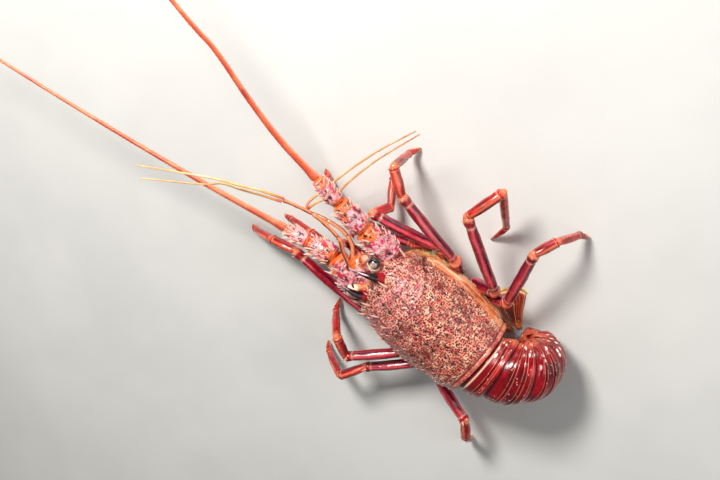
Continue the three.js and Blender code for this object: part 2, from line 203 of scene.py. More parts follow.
class Build:
    """Collects points, faces and named masks, then writes one mesh object."""

    def __init__(self):
        self.points, self.quads, self.tris, self.masks, self.count = [], [], [], {}, 0

    def add(self, places, quads=None, tris=None, **masks):
        """Adds points in millimetres, their faces and a value or an array for each named mask."""
        places = np.asarray(places, float).reshape(-1, 3)
        if quads is not None and len(quads):
            self.quads.append(np.asarray(quads) + self.count)
        if tris is not None and len(tris):
            self.tris.append(np.asarray(tris) + self.count)
        for name in set(masks) | set(self.masks):
            held = self.masks.setdefault(name, [np.zeros(self.count)])
            value = masks.get(name, 0.0)
            held.append(np.broadcast_to(np.asarray(value, float).reshape(-1), (len(places),)).copy()
                        if np.ndim(value) else np.full(len(places), float(value)))
        self.points.append(places)
        self.count += len(places)

    def object(self, name, material, replaced=()):
        """Writes the mesh with its masks as point attributes, hangs it from the root body and hides the CAD
        parts it replaces.
        """
        points = world(np.vstack(self.points))
        quads = np.vstack(self.quads) if self.quads else np.zeros((0, 4), int)
        tris = np.vstack(self.tris) if self.tris else np.zeros((0, 3), int)
        mesh = bpy.data.meshes.new(name)
        mesh.vertices.add(len(points))
        mesh.vertices.foreach_set("co", points.astype(np.float32).ravel())
        loops = np.concatenate([quads.ravel(), tris.ravel()]).astype(np.int32)
        mesh.loops.add(len(loops))
        mesh.loops.foreach_set("vertex_index", loops)
        starts = np.concatenate([np.arange(len(quads)) * 4, len(quads) * 4 + np.arange(len(tris)) * 3])
        mesh.polygons.add(len(starts))
        mesh.polygons.foreach_set("loop_start", starts.astype(np.int32))
        mesh.polygons.foreach_set("use_smooth", np.ones(len(starts), bool))
        mesh.update(calc_edges=True)
        mesh.validate()
        held = {mask: np.concatenate(parts).astype(np.float32) for mask, parts in self.masks.items()}
        if "patch_u" in held:
            vertex = np.zeros(len(mesh.loops), np.int32)
            mesh.loops.foreach_get("vertex_index", vertex)
            across, up = held.pop("patch_u"), held.pop("patch_v")
            layer = mesh.uv_layers.new(name="OFBake")
            layer.data.foreach_set("uv", np.stack([across[vertex], up[vertex]], axis=1).ravel())
        for mask, values in held.items():
            attribute = mesh.attributes.new(mask, "FLOAT", "POINT")
            attribute.data.foreach_set("value", values)
        mesh.materials.append(material)
        piece = bpy.data.objects.new(name, mesh)
        bpy.context.scene.collection.objects.link(piece)
        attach(piece, "root")
        if replaced:
            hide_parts(*replaced)

    def skin(self, node, material, slot):
        """Writes the mesh that stands for one CAD node."""
        self.object(f"{node}_skin", material, [node])


def grid_quads(rows, columns):
    """Faces of a grid of points, rows by columns, closed round in its columns."""
    r = np.arange(rows - 1)[:, None]
    c = np.arange(columns)[None, :]
    n = (c + 1) % columns
    return np.stack(
        [r * columns + c, r * columns + n, (r + 1) * columns + n, (r + 1) * columns + c], axis=-1
    ).reshape(-1, 4)


def normals_of(grid):
    """Outward normals of a grid of points whose columns run round it."""
    down = np.gradient(grid, axis=0)
    across = (np.roll(grid, -1, axis=1) - np.roll(grid, 1, axis=1)) / 2
    normal = unit(np.cross(across, down))
    middle = grid.mean(axis=1, keepdims=True)
    outward = np.sum(normal * (grid - middle), axis=-1).mean()
    return normal if outward > 0 else -normal


def add_skin(build, grid, **masks):
    """Adds a grid closed round in its columns, with its two ends capped."""
    rows, columns = grid.shape[:2]
    quads = grid_quads(rows, columns)
    places = grid.reshape(-1, 3)
    ends = np.stack([grid[0].mean(axis=0), grid[-1].mean(axis=0)])
    ring = np.arange(columns)
    turned = np.roll(ring, -1)
    first = np.stack([turned, ring, np.full(columns, rows * columns)], axis=1)
    base = (rows - 1) * columns
    last = np.stack([base + ring, base + turned, np.full(columns, rows * columns + 1)], axis=1)
    tris = np.vstack([first, last])
    down = grid[1, 0] - grid[0, 0]
    across = grid[0, 1] - grid[0, 0]
    if np.dot(np.cross(across, down), grid[0, 0] - ends[0]) < 0:
        quads, tris = quads[:, ::-1], tris[:, ::-1]
    full = {}
    for name, value in masks.items():
        value = np.asarray(value, float)
        if value.ndim:
            value = np.broadcast_to(value, (rows, columns))
            value = np.concatenate([value.ravel(), [value[0].mean(), value[-1].mean()]])
        full[name] = value
    build.add(np.vstack([places, ends]), quads, tris, **full)


def raised(grid, out, height):
    """A grid moved outward by a height at each of its points."""
    return grid + out * height[..., None]


def keep_above(grid, level):
    """Lifts the points of a grid that lie below a level."""
    grid[..., 2] = np.maximum(grid[..., 2], level)


def close_gap(skin, columns):
    """Points that bridge the gap from a skin's last column to its first, and their shares of the way."""
    share = np.linspace(0, 1, columns + 2)[1:-1][None, :, None]
    return skin[:, -1:, :] * (1 - share) + skin[:, :1, :] * share, share


def widened(masks, rows, columns):
    """Masks of a skin with the columns that close it added, where they are nil."""
    blank = np.zeros((rows, columns))
    return {name: np.concatenate([value, blank], axis=1) for name, value in masks.items()}


def frames_along(path):
    """Tangent and two cross directions at each point of a path, turned as little as possible."""
    along = unit(np.gradient(path, axis=0))
    across = np.zeros_like(path)
    start = np.cross(along[0], [0.0, 0.0, 1.0])
    if np.linalg.norm(start) < 0.05:
        start = np.array([0.0, 1.0, 0.0])
    for i in range(len(path)):
        start = start - np.dot(start, along[i]) * along[i]
        start = start / np.linalg.norm(start)
        across[i] = start
    return along, across, np.cross(along, across)


def tube_grid(path, radius, columns, tall=1.0):
    """Points round a path, tall being their height over their width. Angle 0 is the upper side."""
    _, across, over = frames_along(path)
    angle = once_round(columns)
    reach = np.broadcast_to(np.asarray(radius, float).reshape(-1, 1), (len(path), columns))
    tall = np.broadcast_to(np.asarray(tall, float).reshape(-1, 1), (len(path), 1))
    ups = np.where(over[:, 2:3] < 0, -1, 1)
    grid = (
        path[:, None, :]
        + across[:, None, :] * (reach * np.sin(angle))[..., None]
        + (over * ups)[:, None, :] * (reach * tall * np.cos(angle))[..., None]
    )
    return grid, angle


def curve_through(points, steps):
    """Catmull-Rom curve through points, evenly spaced, ends included."""
    p = np.asarray(points, float)
    p = np.vstack([2 * p[0] - p[1], p, 2 * p[-1] - p[-2]])
    fine = []
    for i in range(1, len(p) - 2):
        t = np.linspace(0, 1, 60, endpoint=False)[:, None]
        a, b, c, d = p[i - 1], p[i], p[i + 1], p[i + 2]
        square = (2 * a - 5 * b + 4 * c - d) * t**2
        cube = (3 * b - a - 3 * c + d) * t**3
        fine.append(0.5 * (2 * b + (c - a) * t + square + cube))
    fine = np.vstack(fine + [p[-2][None]])
    run = np.concatenate([[0], np.cumsum(np.linalg.norm(np.diff(fine, axis=0), axis=1))])
    even = np.linspace(0, run[-1], steps)
    return np.stack([np.interp(even, run, fine[:, k]) for k in range(3)], axis=1), run[-1]


PATCH = 0.003


def add_spines(build, roots, directions, lengths, radii, bend=None, sides=6, steps=4, patches=None, **masks):
    """Many curved tapering spines at once. The mask named tip runs from 0 at the root to 1 at the point.

    Patches are the places of the roots on an unwrap of the skin, where each spine is given a small patch.
    """
    roots, directions = np.asarray(roots, float), unit(np.asarray(directions, float))
    count = len(roots)
    if not count:
        return
    lengths = np.broadcast_to(np.asarray(lengths, float), (count,))
    radii = np.broadcast_to(np.asarray(radii, float), (count,))
    bend = np.zeros((count, 3)) if bend is None else np.broadcast_to(np.asarray(bend, float), (count, 3))
    helper = np.where(np.abs(directions[:, 2:3]) > 0.9, [[1.0, 0.0, 0.0]], [[0.0, 0.0, 1.0]])
    side = unit(np.cross(directions, helper))
    over = np.cross(directions, side)
    share = np.linspace(0, 1, steps + 1)[:-1]
    angle = np.linspace(0, 2 * np.pi, sides, endpoint=False)
    centre = (
        roots[:, None, :]
        + directions[:, None, :] * (lengths[:, None] * share)[..., None]
        + bend[:, None, :] * (lengths[:, None] * share**2)[..., None]
    )
    width = radii[:, None] * (1 - share**1.3)[None, :]
    ring = (
        centre[:, :, None, :]
        + side[:, None, None, :] * (width[:, :, None] * np.cos(angle))[..., None]
        + over[:, None, None, :] * (width[:, :, None] * np.sin(angle))[..., None]
    )
    points = roots + directions * lengths[:, None] + bend * lengths[:, None]
    per = steps * sides + 1
    places = np.concatenate([ring.reshape(count, -1, 3), points[:, None, :]], axis=1)
    offset = (np.arange(count) * per)[:, None, None]
    quads = (grid_quads(steps, sides)[None] + offset).reshape(-1, 4)
    last = (steps - 1) * sides
    k = np.arange(sides)
    cap = np.stack([last + k, last + (k + 1) % sides, np.full(sides, steps * sides)], axis=1)
    foot = np.stack([(k + 1) % sides, k, np.full(sides, 0)], axis=1)[1:-1]
    tris = np.concatenate([cap[None] + offset, foot[None] + offset], axis=1).reshape(-1, 3)
    tip = np.concatenate([np.repeat(share, sides), [1.0]])
    full = {"tip": np.tile(tip, count)}
    if patches is not None:
        turn = np.concatenate([np.tile(np.arange(sides) / sides, steps), [0.5]])
        full["patch_u"] = (np.asarray(patches)[:, 0:1] + PATCH * turn).ravel()
        full["patch_v"] = (np.asarray(patches)[:, 1:2] + PATCH * tip).ravel()
    for name, value in masks.items():
        full[name] = np.repeat(np.broadcast_to(value, (count,)), per) if np.ndim(value) else value
    build.add(places.reshape(-1, 3), quads, tris, **full)


# Materials

def rgb(red, green, blue):
    """A screen colour, 0 to 255, as linear light."""
    channel = [c / 255 for c in (red, green, blue)]
    return tuple(c / 12.92 if c <= 0.04045 else ((c + 0.055) / 1.055) ** 2.4 for c in channel) + (1.0,)


class Look:
    """A node material whose colour is built up in layers."""

    def __init__(self, name):
        self.material = bpy.data.materials.new(name)
        self.material.use_nodes = True
        self.nodes = self.material.node_tree.nodes
        self.links = self.material.node_tree.links
        self.shader = self.nodes["Principled BSDF"]
        self.place = self.nodes.new("ShaderNodeTexCoord").outputs["Object"]
        self.colour = None

    def join(self, source, target):
        self.links.new(source, target)

    def noise(self, scale, detail=3.0, stretch=None):
        """Noise over the model, scale in cycles for a metre."""
        node = self.nodes.new("ShaderNodeTexNoise")
        node.inputs["Scale"].default_value = scale
        node.inputs["Detail"].default_value = detail
        node.inputs["Roughness"].default_value = 0.6
        place = self.place
        if stretch:
            mapping = self.nodes.new("ShaderNodeMapping")
            mapping.inputs["Scale"].default_value = stretch
            self.join(self.place, mapping.inputs["Vector"])
            place = mapping.outputs["Vector"]
        self.join(place, node.inputs["Vector"])
        return node.outputs["Fac"]

    def span(self, value, low, high, to_low=0.0, to_high=1.0):
        """Maps a value smoothly from one range to another."""
        node = self.nodes.new("ShaderNodeMapRange")
        node.interpolation_type = "SMOOTHSTEP"
        self.join(value, node.inputs["Value"])
        sockets = ("From Min", "From Max", "To Min", "To Max")
        for socket, number in zip(sockets, (low, high, to_low, to_high)):
            node.inputs[socket].default_value = number
        return node.outputs["Result"]

    def times(self, first, second):
        node = self.nodes.new("ShaderNodeMath")
        node.operation = "MULTIPLY"
        self.join(first, node.inputs[0])
        if isinstance(second, float):
            node.inputs[1].default_value = second
        else:
            self.join(second, node.inputs[1])
        return node.outputs["Value"]

    def mask(self, name):
        """The value of a mask held on the mesh."""
        node = self.nodes.new("ShaderNodeAttribute")
        node.attribute_name = name
        return node.outputs["Fac"]

    def layer(self, colour, amount):
        """Lays a colour over what is there, by a value from 0 to 1."""
        node = self.nodes.new("ShaderNodeMix")
        node.data_type = "RGBA"
        if isinstance(self.colour, tuple):
            node.inputs[6].default_value = self.colour
        else:
            self.join(self.colour, node.inputs[6])
        node.inputs[7].default_value = colour
        self.join(amount, node.inputs[0])
        self.colour = node.outputs[2]

    def pits(self, size, reach, soft, uneven):
        """Value 1 in round pits over a skin whose masks run and arc hold its own lengths in millimetres.

        Size is the pits' spacing in millimetres and reach their radius as a share of it.
        """
        join = self.nodes.new("ShaderNodeCombineXYZ")
        self.join(self.mask("run"), join.inputs["X"])
        self.join(self.mask("arc"), join.inputs["Y"])
        node = self.nodes.new("ShaderNodeTexVoronoi")
        node.voronoi_dimensions = "2D"
        node.inputs["Scale"].default_value = 1 / size
        node.inputs["Randomness"].default_value = uneven
        self.join(join.outputs["Vector"], node.inputs["Vector"])
        return self.span(node.outputs["Distance"], reach, reach + soft, 1.0, 0.0)

    def bumps(self, heights):
        """Heights are pairs of value and depth in metres."""
        normal = None
        for value, depth in heights:
            node = self.nodes.new("ShaderNodeBump")
            node.inputs["Strength"].default_value = 1.0
            node.inputs["Distance"].default_value = depth
            self.join(value, node.inputs["Height"])
            if normal is not None:
                self.join(normal, node.inputs["Normal"])
            normal = node.outputs["Normal"]
        self.join(normal, self.shader.inputs["Normal"])
        self.join(normal, self.shader.inputs["Coat Normal"])

    def close(self, roughness, coat=0.0, coat_roughness=0.1, subsurface=0.0):
        """Joins what was built up to the shader and returns the material."""
        self.join(self.colour, self.shader.inputs["Base Color"])
        self.join(roughness, self.shader.inputs["Roughness"])
        self.shader.inputs["IOR"].default_value = 1.52
        self.shader.inputs["Coat Weight"].default_value = coat
        self.shader.inputs["Coat Roughness"].default_value = coat_roughness
        if subsurface:
            self.shader.inputs["Subsurface Weight"].default_value = subsurface
            self.shader.inputs["Subsurface Radius"].default_value = (0.004, 0.0015, 0.001)
        return self.material


def shell_look(name, ground, blotches, masks, roughness, coat, grain=0.00008, subsurface=0.0, pits=None,
               specular=0.5):
    """Horny shell: a ground with noise blotches, then masks held on the mesh, wet gloss and fine grain.

    Blotches are colour, noise scale, low and high; masks are attribute name, colour, amount.
    """
    look = Look(name)
    look.colour = ground
    for colour, scale, low, high in blotches:
        look.layer(colour, look.span(look.noise(scale), low, high))
    speckle = look.span(look.noise(900.0, 2.0), 0.3, 0.6, 0.75, 1.0)
    heights = [(look.noise(2600.0, 2.0), grain), (look.noise(700.0, 3.0), grain * 2)]
    for mask, colour, amount in masks:
        look.layer(colour, look.times(look.times(look.mask(mask), speckle), amount))
    if pits:
        colour, size, reach, where = pits
        pit = look.pits(size, reach, 0.28, 0.72)
        fewer = look.span(look.noise(150.0), 0.3, 0.5, 0.65, 1.0)
        look.layer(colour, look.times(look.times(pit, fewer), look.mask(where)))
        heights.append((look.times(pit, -1.0), size * 0.00012))
    look.bumps(heights)
    wet = look.span(look.noise(120.0), 0.35, 0.65, roughness[0], roughness[1])
    look.shader.inputs["Specular IOR Level"].default_value = specular
    return look.close(wet, coat=coat, subsurface=subsurface)


carapace_look = shell_look(
    "carapace_look",
    rgb(216, 108, 86),
    [
        (rgb(246, 176, 142), 140.0, 0.45, 0.58),
        (rgb(168, 34, 38), 200.0, 0.5, 0.62),
        (rgb(132, 6, 22), 60.0, 0.54, 0.68),
    ],
    [
        ("rose", rgb(222, 116, 134), 0.5),
        # Dark red mottling, with painted shade on the left rear.
        ("warm", rgb(128, 6, 20), 0.75),
        ("bare", rgb(232, 142, 78), 0.9),
        ("streak", rgb(150, 30, 24), 0.8),
        ("edge_line", rgb(250, 220, 186), 0.9),
        ("front", rgb(238, 168, 112), 0.85),
        ("comb", rgb(140, 20, 20), 0.6),
        # Painted shade between the bumps and on the left side, with the swirl's real dark arcs.
        ("low", rgb(104, 14, 22), 0.85),
        # Pale tops of the bumps, partly painted highlight.
        ("high", rgb(255, 208, 172), 0.75),
        ("pale", rgb(226, 140, 146), 0.6),
        # Dark spots: painted shadow ahead of the spines, with real dark dashes and scars.
        ("spot", rgb(22, 2, 10), 1.0),
        ("rim", rgb(196, 76, 66), 0.6),
        ("groove", rgb(84, 6, 16), 0.85),
    ],
    (0.18, 0.34),
    0.5,
    pits=(rgb(66, 0, 10), 1.95, 0.205, "live"),
)
spine_look = shell_look(
    "spine_look",
    rgb(160, 36, 34),
    [(rgb(204, 100, 74), 300.0, 0.44, 0.62)],
    [
        ("cream", rgb(240, 184, 170), 0.8),
        ("tip", rgb(252, 230, 208), 0.95),
        ("dark", rgb(92, 18, 28), 0.7),
    ],
    (0.2, 0.35),
    0.4,
)
belly_look = shell_look(
    "belly_look",
    rgb(206, 132, 92),
    [(rgb(228, 176, 138), 80.0, 0.4, 0.65), (rgb(176, 84, 62), 40.0, 0.55, 0.75)],
    [("groove", rgb(120, 40, 34), 0.8), ("high", rgb(240, 208, 180), 0.6)],
    (0.3, 0.5),
    0.3,
)
tail_look = shell_look(
    "tail_look",
    rgb(126, 0, 12),
    [(rgb(180, 6, 22), 50.0, 0.5, 0.68), (rgb(52, 0, 8), 40.0, 0.48, 0.68)],
    [
        ("side", rgb(206, 96, 60), 0.8),
        ("groove", rgb(50, 5, 14), 0.85),
        ("line", rgb(222, 116, 92), 0.8),
        ("rim", rgb(150, 40, 40), 0.6),
        ("spot", rgb(250, 236, 228), 0.95),
        ("stipple", rgb(52, 4, 14), 0.7),
        ("cream", rgb(244, 214, 184), 0.9),
    ],
    (0.14, 0.3),
    0.4,
    grain=0.00003,
    specular=0.35,
)
fan_look = shell_look(
    "fan_look",
    rgb(178, 66, 34),
    [(rgb(210, 112, 54), 60.0, 0.42, 0.66), (rgb(128, 20, 22), 50.0, 0.5, 0.7)],
    [("groove", rgb(140, 36, 24), 0.7), ("high", rgb(240, 178, 116), 0.7), ("rim", rgb(246, 214, 150), 0.8)],
    (0.25, 0.45),
    0.4,
    subsurface=0.15,
)
leg_look = shell_look(
    "leg_look",
    rgb(120, 0, 24),
    [(rgb(158, 4, 20), 60.0, 0.45, 0.62), (rgb(84, 0, 30), 40.0, 0.5, 0.7)],
    [
        ("deep", rgb(44, 0, 34), 0.92),
        ("orange", rgb(196, 20, 20), 0.8),
        # Pale lines along the legs: real stripes, the one near the top also a painted highlight.
        ("stripe", rgb(228, 92, 100), 0.8),
        ("spot", rgb(46, 2, 30), 0.9),
        ("joint", rgb(228, 116, 84), 0.85),
        ("socket", rgb(246, 196, 158), 0.9),
    ],
    (0.14, 0.28),
    0.35,
    grain=0.00004,
    specular=0.4,
)
leg_tip_look = shell_look(
    "leg_tip_look",
    rgb(160, 8, 16),
    [(rgb(196, 30, 24), 90.0, 0.42, 0.62), (rgb(104, 0, 16), 60.0, 0.48, 0.7)],
    [
        ("deep", rgb(116, 2, 20), 0.85),
        # Pale lines along the lower legs and mouth feet: real stripes, the one near the top of the lower
        # legs also a painted highlight.
        ("stripe", rgb(238, 118, 86), 0.85),
        ("spot", rgb(80, 4, 18), 0.8),
        ("joint", rgb(230, 116, 70), 0.8),
        ("socket", rgb(246, 190, 140), 0.9),
        ("claw", rgb(88, 20, 14), 0.85),
    ],
    (0.16, 0.3),
    0.35,
    grain=0.00004,
    specular=0.4,
)
antenna_look = shell_look(
    "antenna_look",
    rgb(180, 40, 66),
    [
        (rgb(218, 122, 146), 190.0, 0.48, 0.6),
        (rgb(180, 22, 22), 90.0, 0.5, 0.62),
        (rgb(82, 0, 22), 130.0, 0.52, 0.64),
    ],
    [
        ("joint", rgb(224, 70, 24), 0.85),
        ("orange", rgb(240, 116, 44), 0.85),
        ("cream", rgb(248, 212, 164), 0.85),
        ("pale", rgb(244, 200, 206), 0.8),
        ("spot", rgb(18, 2, 30), 1.0),
        ("groove", rgb(120, 16, 26), 0.8),
    ],
    (0.2, 0.38),
    0.5,
)
whip_look = shell_look(
    "whip_look",
    rgb(208, 82, 48),
    [(rgb(230, 124, 78), 50.0, 0.4, 0.65), (rgb(168, 34, 30), 30.0, 0.55, 0.78)],
    [("low", rgb(140, 20, 22), 0.8), ("side", rgb(242, 176, 124), 0.6), ("tip", rgb(150, 34, 26), 0.7)],
    (0.3, 0.45),
    0.25,
    grain=0.00003,
)
feeler_look = shell_look(
    "feeler_look",
    rgb(232, 168, 96),
    [(rgb(242, 204, 136), 60.0, 0.4, 0.65), (rgb(216, 112, 64), 40.0, 0.55, 0.75)],
    [
        ("stem", rgb(204, 66, 46), 0.9),
        # Painted shade along the sides of the feeler stems.
        ("edge", rgb(110, 0, 16), 0.92),
        ("low", rgb(176, 74, 44), 0.6),
        # Pale line along the top of the feeler stems: painted highlight, with real pale bands before the
        # knots.
        ("stripe", rgb(240, 148, 98), 0.8),
        ("joint", rgb(150, 18, 24), 0.8),
    ],
    (0.28, 0.42),
    0.3,
    grain=0.00003,
)
horn_look = shell_look(
    "horn_look",
    rgb(24, 3, 12),
    [(rgb(64, 6, 24), 160.0, 0.46, 0.66)],
    [
        ("root", rgb(166, 8, 20), 0.95),
        # Pale line: painted highlight along the horn's upper right side.
        ("line", rgb(246, 212, 220), 0.9),
        ("tip", rgb(206, 128, 108), 0.8),
    ],
    (0.26, 0.38),
    0.2,
    grain=0.00003,
    specular=0.3,
)
stalk_look = shell_look(
    "stalk_look",
    rgb(196, 86, 46),
    [(rgb(226, 150, 96), 200.0, 0.4, 0.6), (rgb(128, 20, 24), 120.0, 0.55, 0.7)],
    [("pale", rgb(248, 228, 204), 0.95), ("deep", rgb(110, 10, 16), 0.95)],
    (0.2, 0.35),
    0.6,
)
bristle_look = shell_look(
    "bristle_look",
    rgb(206, 140, 72),
    [(rgb(232, 188, 116), 300.0, 0.4, 0.6)],
    [("tip", rgb(246, 220, 160), 0.8)],
    (0.4, 0.55),
    0.0,
)
down_look = shell_look(
    "down_look",
    rgb(150, 40, 40),
    [(rgb(196, 96, 80), 300.0, 0.4, 0.6)],
    [("tip", rgb(248, 196, 166), 0.85)],
    (0.3, 0.45),
    0.1,
)


def eye_material():
    """Dark glossy eye: facets show as fine bumps, the rim is browner, and a pale painted reflection lies on
    top.
    """
    look = Look("eye_look")
    look.colour = rgb(8, 6, 8)
    look.layer(rgb(58, 24, 14), look.mask("rim"))
    look.layer(rgb(26, 14, 12), look.span(look.noise(900.0), 0.45, 0.65))
    # Painted reflection: a pale streaked glare laid over the eye's upper side.
    streaks = look.span(look.noise(420.0, 3.0, (1.0, 0.35, 1.0)), 0.3, 0.6, 0.45, 1.0)
    look.layer(rgb(206, 178, 162), look.times(look.mask("bloom"), streaks))
    facets = look.nodes.new("ShaderNodeTexVoronoi")
    facets.inputs["Scale"].default_value = 4200.0
    look.join(look.place, facets.inputs["Vector"])
    look.bumps([(facets.outputs["Distance"], 0.00001)])
    return look.close(look.span(look.noise(300.0), 0.3, 0.7, 0.05, 0.12), coat=1.0, coat_roughness=0.03)


eye_look = eye_material()


# Trunk

half_width = graded([(0, 35), (14, 38), (45, CARAPACE_HALF_WIDTH), (70, 40), (92, 33), (102, 26), (108, 19)])
top_level = graded([
    (0, 77.5), (12, 80), (40, CARAPACE_TOP), (66, 82), (84, 78), (98, 72), (104, 67), (108, 59),
])
widest_level = graded([(0, 44), (30, 39), (75, 38), (108, 46)])
bottom_level = graded([(0, 21), (10, 17), (80, 18), (108, 31)])


# Lengths over the skin, in millimetres, of one radian of the trunk's angle
BACK_SPAN = 38.0
SIDE_SPAN = 30.0
SIDE_POWER = 0.88
RISE_POWER = 0.94


def trunk_point(forward, angle):
    """A point on the trunk's skin; angle 0 is the back's midline, positive towards the animal's left."""
    side, rise = np.sin(angle), np.cos(angle)
    widest = widest_level(forward)
    tall = np.where(rise >= 0, top_level(forward) - widest, widest - bottom_level(forward))
    left = half_width(forward) * spow(side, SIDE_POWER)
    level = widest + tall * spow(rise, RISE_POWER)
    return stacked(forward, left, level)


def trunk_out(forward, angle):
    """Outward direction of the trunk's skin."""
    step = 0.01
    along = trunk_point(forward + 0.5, angle) - trunk_point(forward - 0.5, angle)
    around = trunk_point(forward, angle + step) - trunk_point(forward, angle - step)
    out = unit(np.cross(along, around))
    return -out if np.mean(out[..., 2] * np.cos(angle)) < 0 else out


def edge_angle(forward, level):
    """The angle at which the trunk's skin passes a level, below its widest line."""
    widest = widest_level(forward)
    fall = (widest - level) / np.maximum(widest - bottom_level(forward), 1.0)
    return np.pi - np.arccos(np.clip(fall, 0, 1) ** (1 / RISE_POWER))


GROOVE_MID = 58.0
GROOVE_SWEEP = 27.0


def neck_groove(forward, angle):
    """Depth in the neck groove, 0 to 1: it crosses the back and sweeps forward down the sides."""
    line = GROOVE_MID + GROOVE_SWEEP * smooth(np.abs(angle), 0.12, 1.7)
    width = 1.9 + 0.6 * np.cos(angle)
    return band(forward - line, width) * smooth(2.1 - np.abs(angle), 0, 0.4)


# Angle from the midline and the places of the spines along that row
LARGE_SPINE_ROWS = [(0.3, (92, 82, 72)), (0.85, (99, 90, 80, 68)), (1.35, (96, 86, 74))]
SMALL_SPINE_ROWS = 15
BACK_ANGLE = 1.36


def spine_plan():
    """Places, angles and lengths of the carapace's forward-leaning spines, in lengthwise rows."""
    plan = []
    for angle, stations in LARGE_SPINE_ROWS:
        for index, forward in enumerate(stations):
            for sign in (-1, 1):
                plan.append((forward, sign * angle, 8.0 - 1.4 * index))
    for row, angle in enumerate(np.linspace(-BACK_ANGLE, BACK_ANGLE, SMALL_SPINE_ROWS)):
        forward = 9.0 + 4.5 * (row % 2)
        while forward < 103:
            place = forward + rng.uniform(-1.6, 1.6)
            turn = angle * (1 + 0.12 * smooth(place, 70, 104)) + rng.uniform(-0.035, 0.035)
            close = [p for p in plan[:20] if abs(p[0] - place) < 5 and abs(p[1] - turn) < 0.16]
            if not close and neck_groove(np.array(place), np.array(turn)) < 0.4:
                length = float(1.5 + 1.7 * smooth(place, 20, 95)) * rng.uniform(0.75, 1.25)
                plan.append((place, turn, length))
            forward += 9.0 - 2.5 * float(smooth(place, 55, 90))
    return np.array(plan)


def dashes(forward, angle, limit, marks):
    """Value 1 in narrow lengthwise marks, each a place, an angle, a half length and a half width."""
    columns = angle.shape[1]
    value = np.zeros(angle.shape)
    for place, turn, long, wide in marks:
        row = row_at(forward[:, 0], place)
        column = int((turn / limit[row, 0] + 1) / 2 * (columns - 1))
        box = (slice(max(row - 16, 0), row + 17), slice(max(column - 12, 0), column + 13))
        reach = np.hypot((forward[box] - place) / long, (angle[box] - turn) * BACK_SPAN / wide)
        value[box] = np.maximum(value[box], smooth(1 - reach, 0, 0.35))
    return value


SPINE_PLAN = spine_plan()
SWIRL_PLACE = 79.0
SWIRL_ANGLE = 0.56
SWIRL_RADIUS = 9.5
SWIRL_LINES = 3.1
SCAR_PLACE = 77.5
SCAR_ANGLE = 1.08
SCAR_RUN = 7.0
SCAR_TURN = 0.5
REAR_MARKS = 24
DOWN_COUNT = 3000
EDGE_BRISTLES = 1200


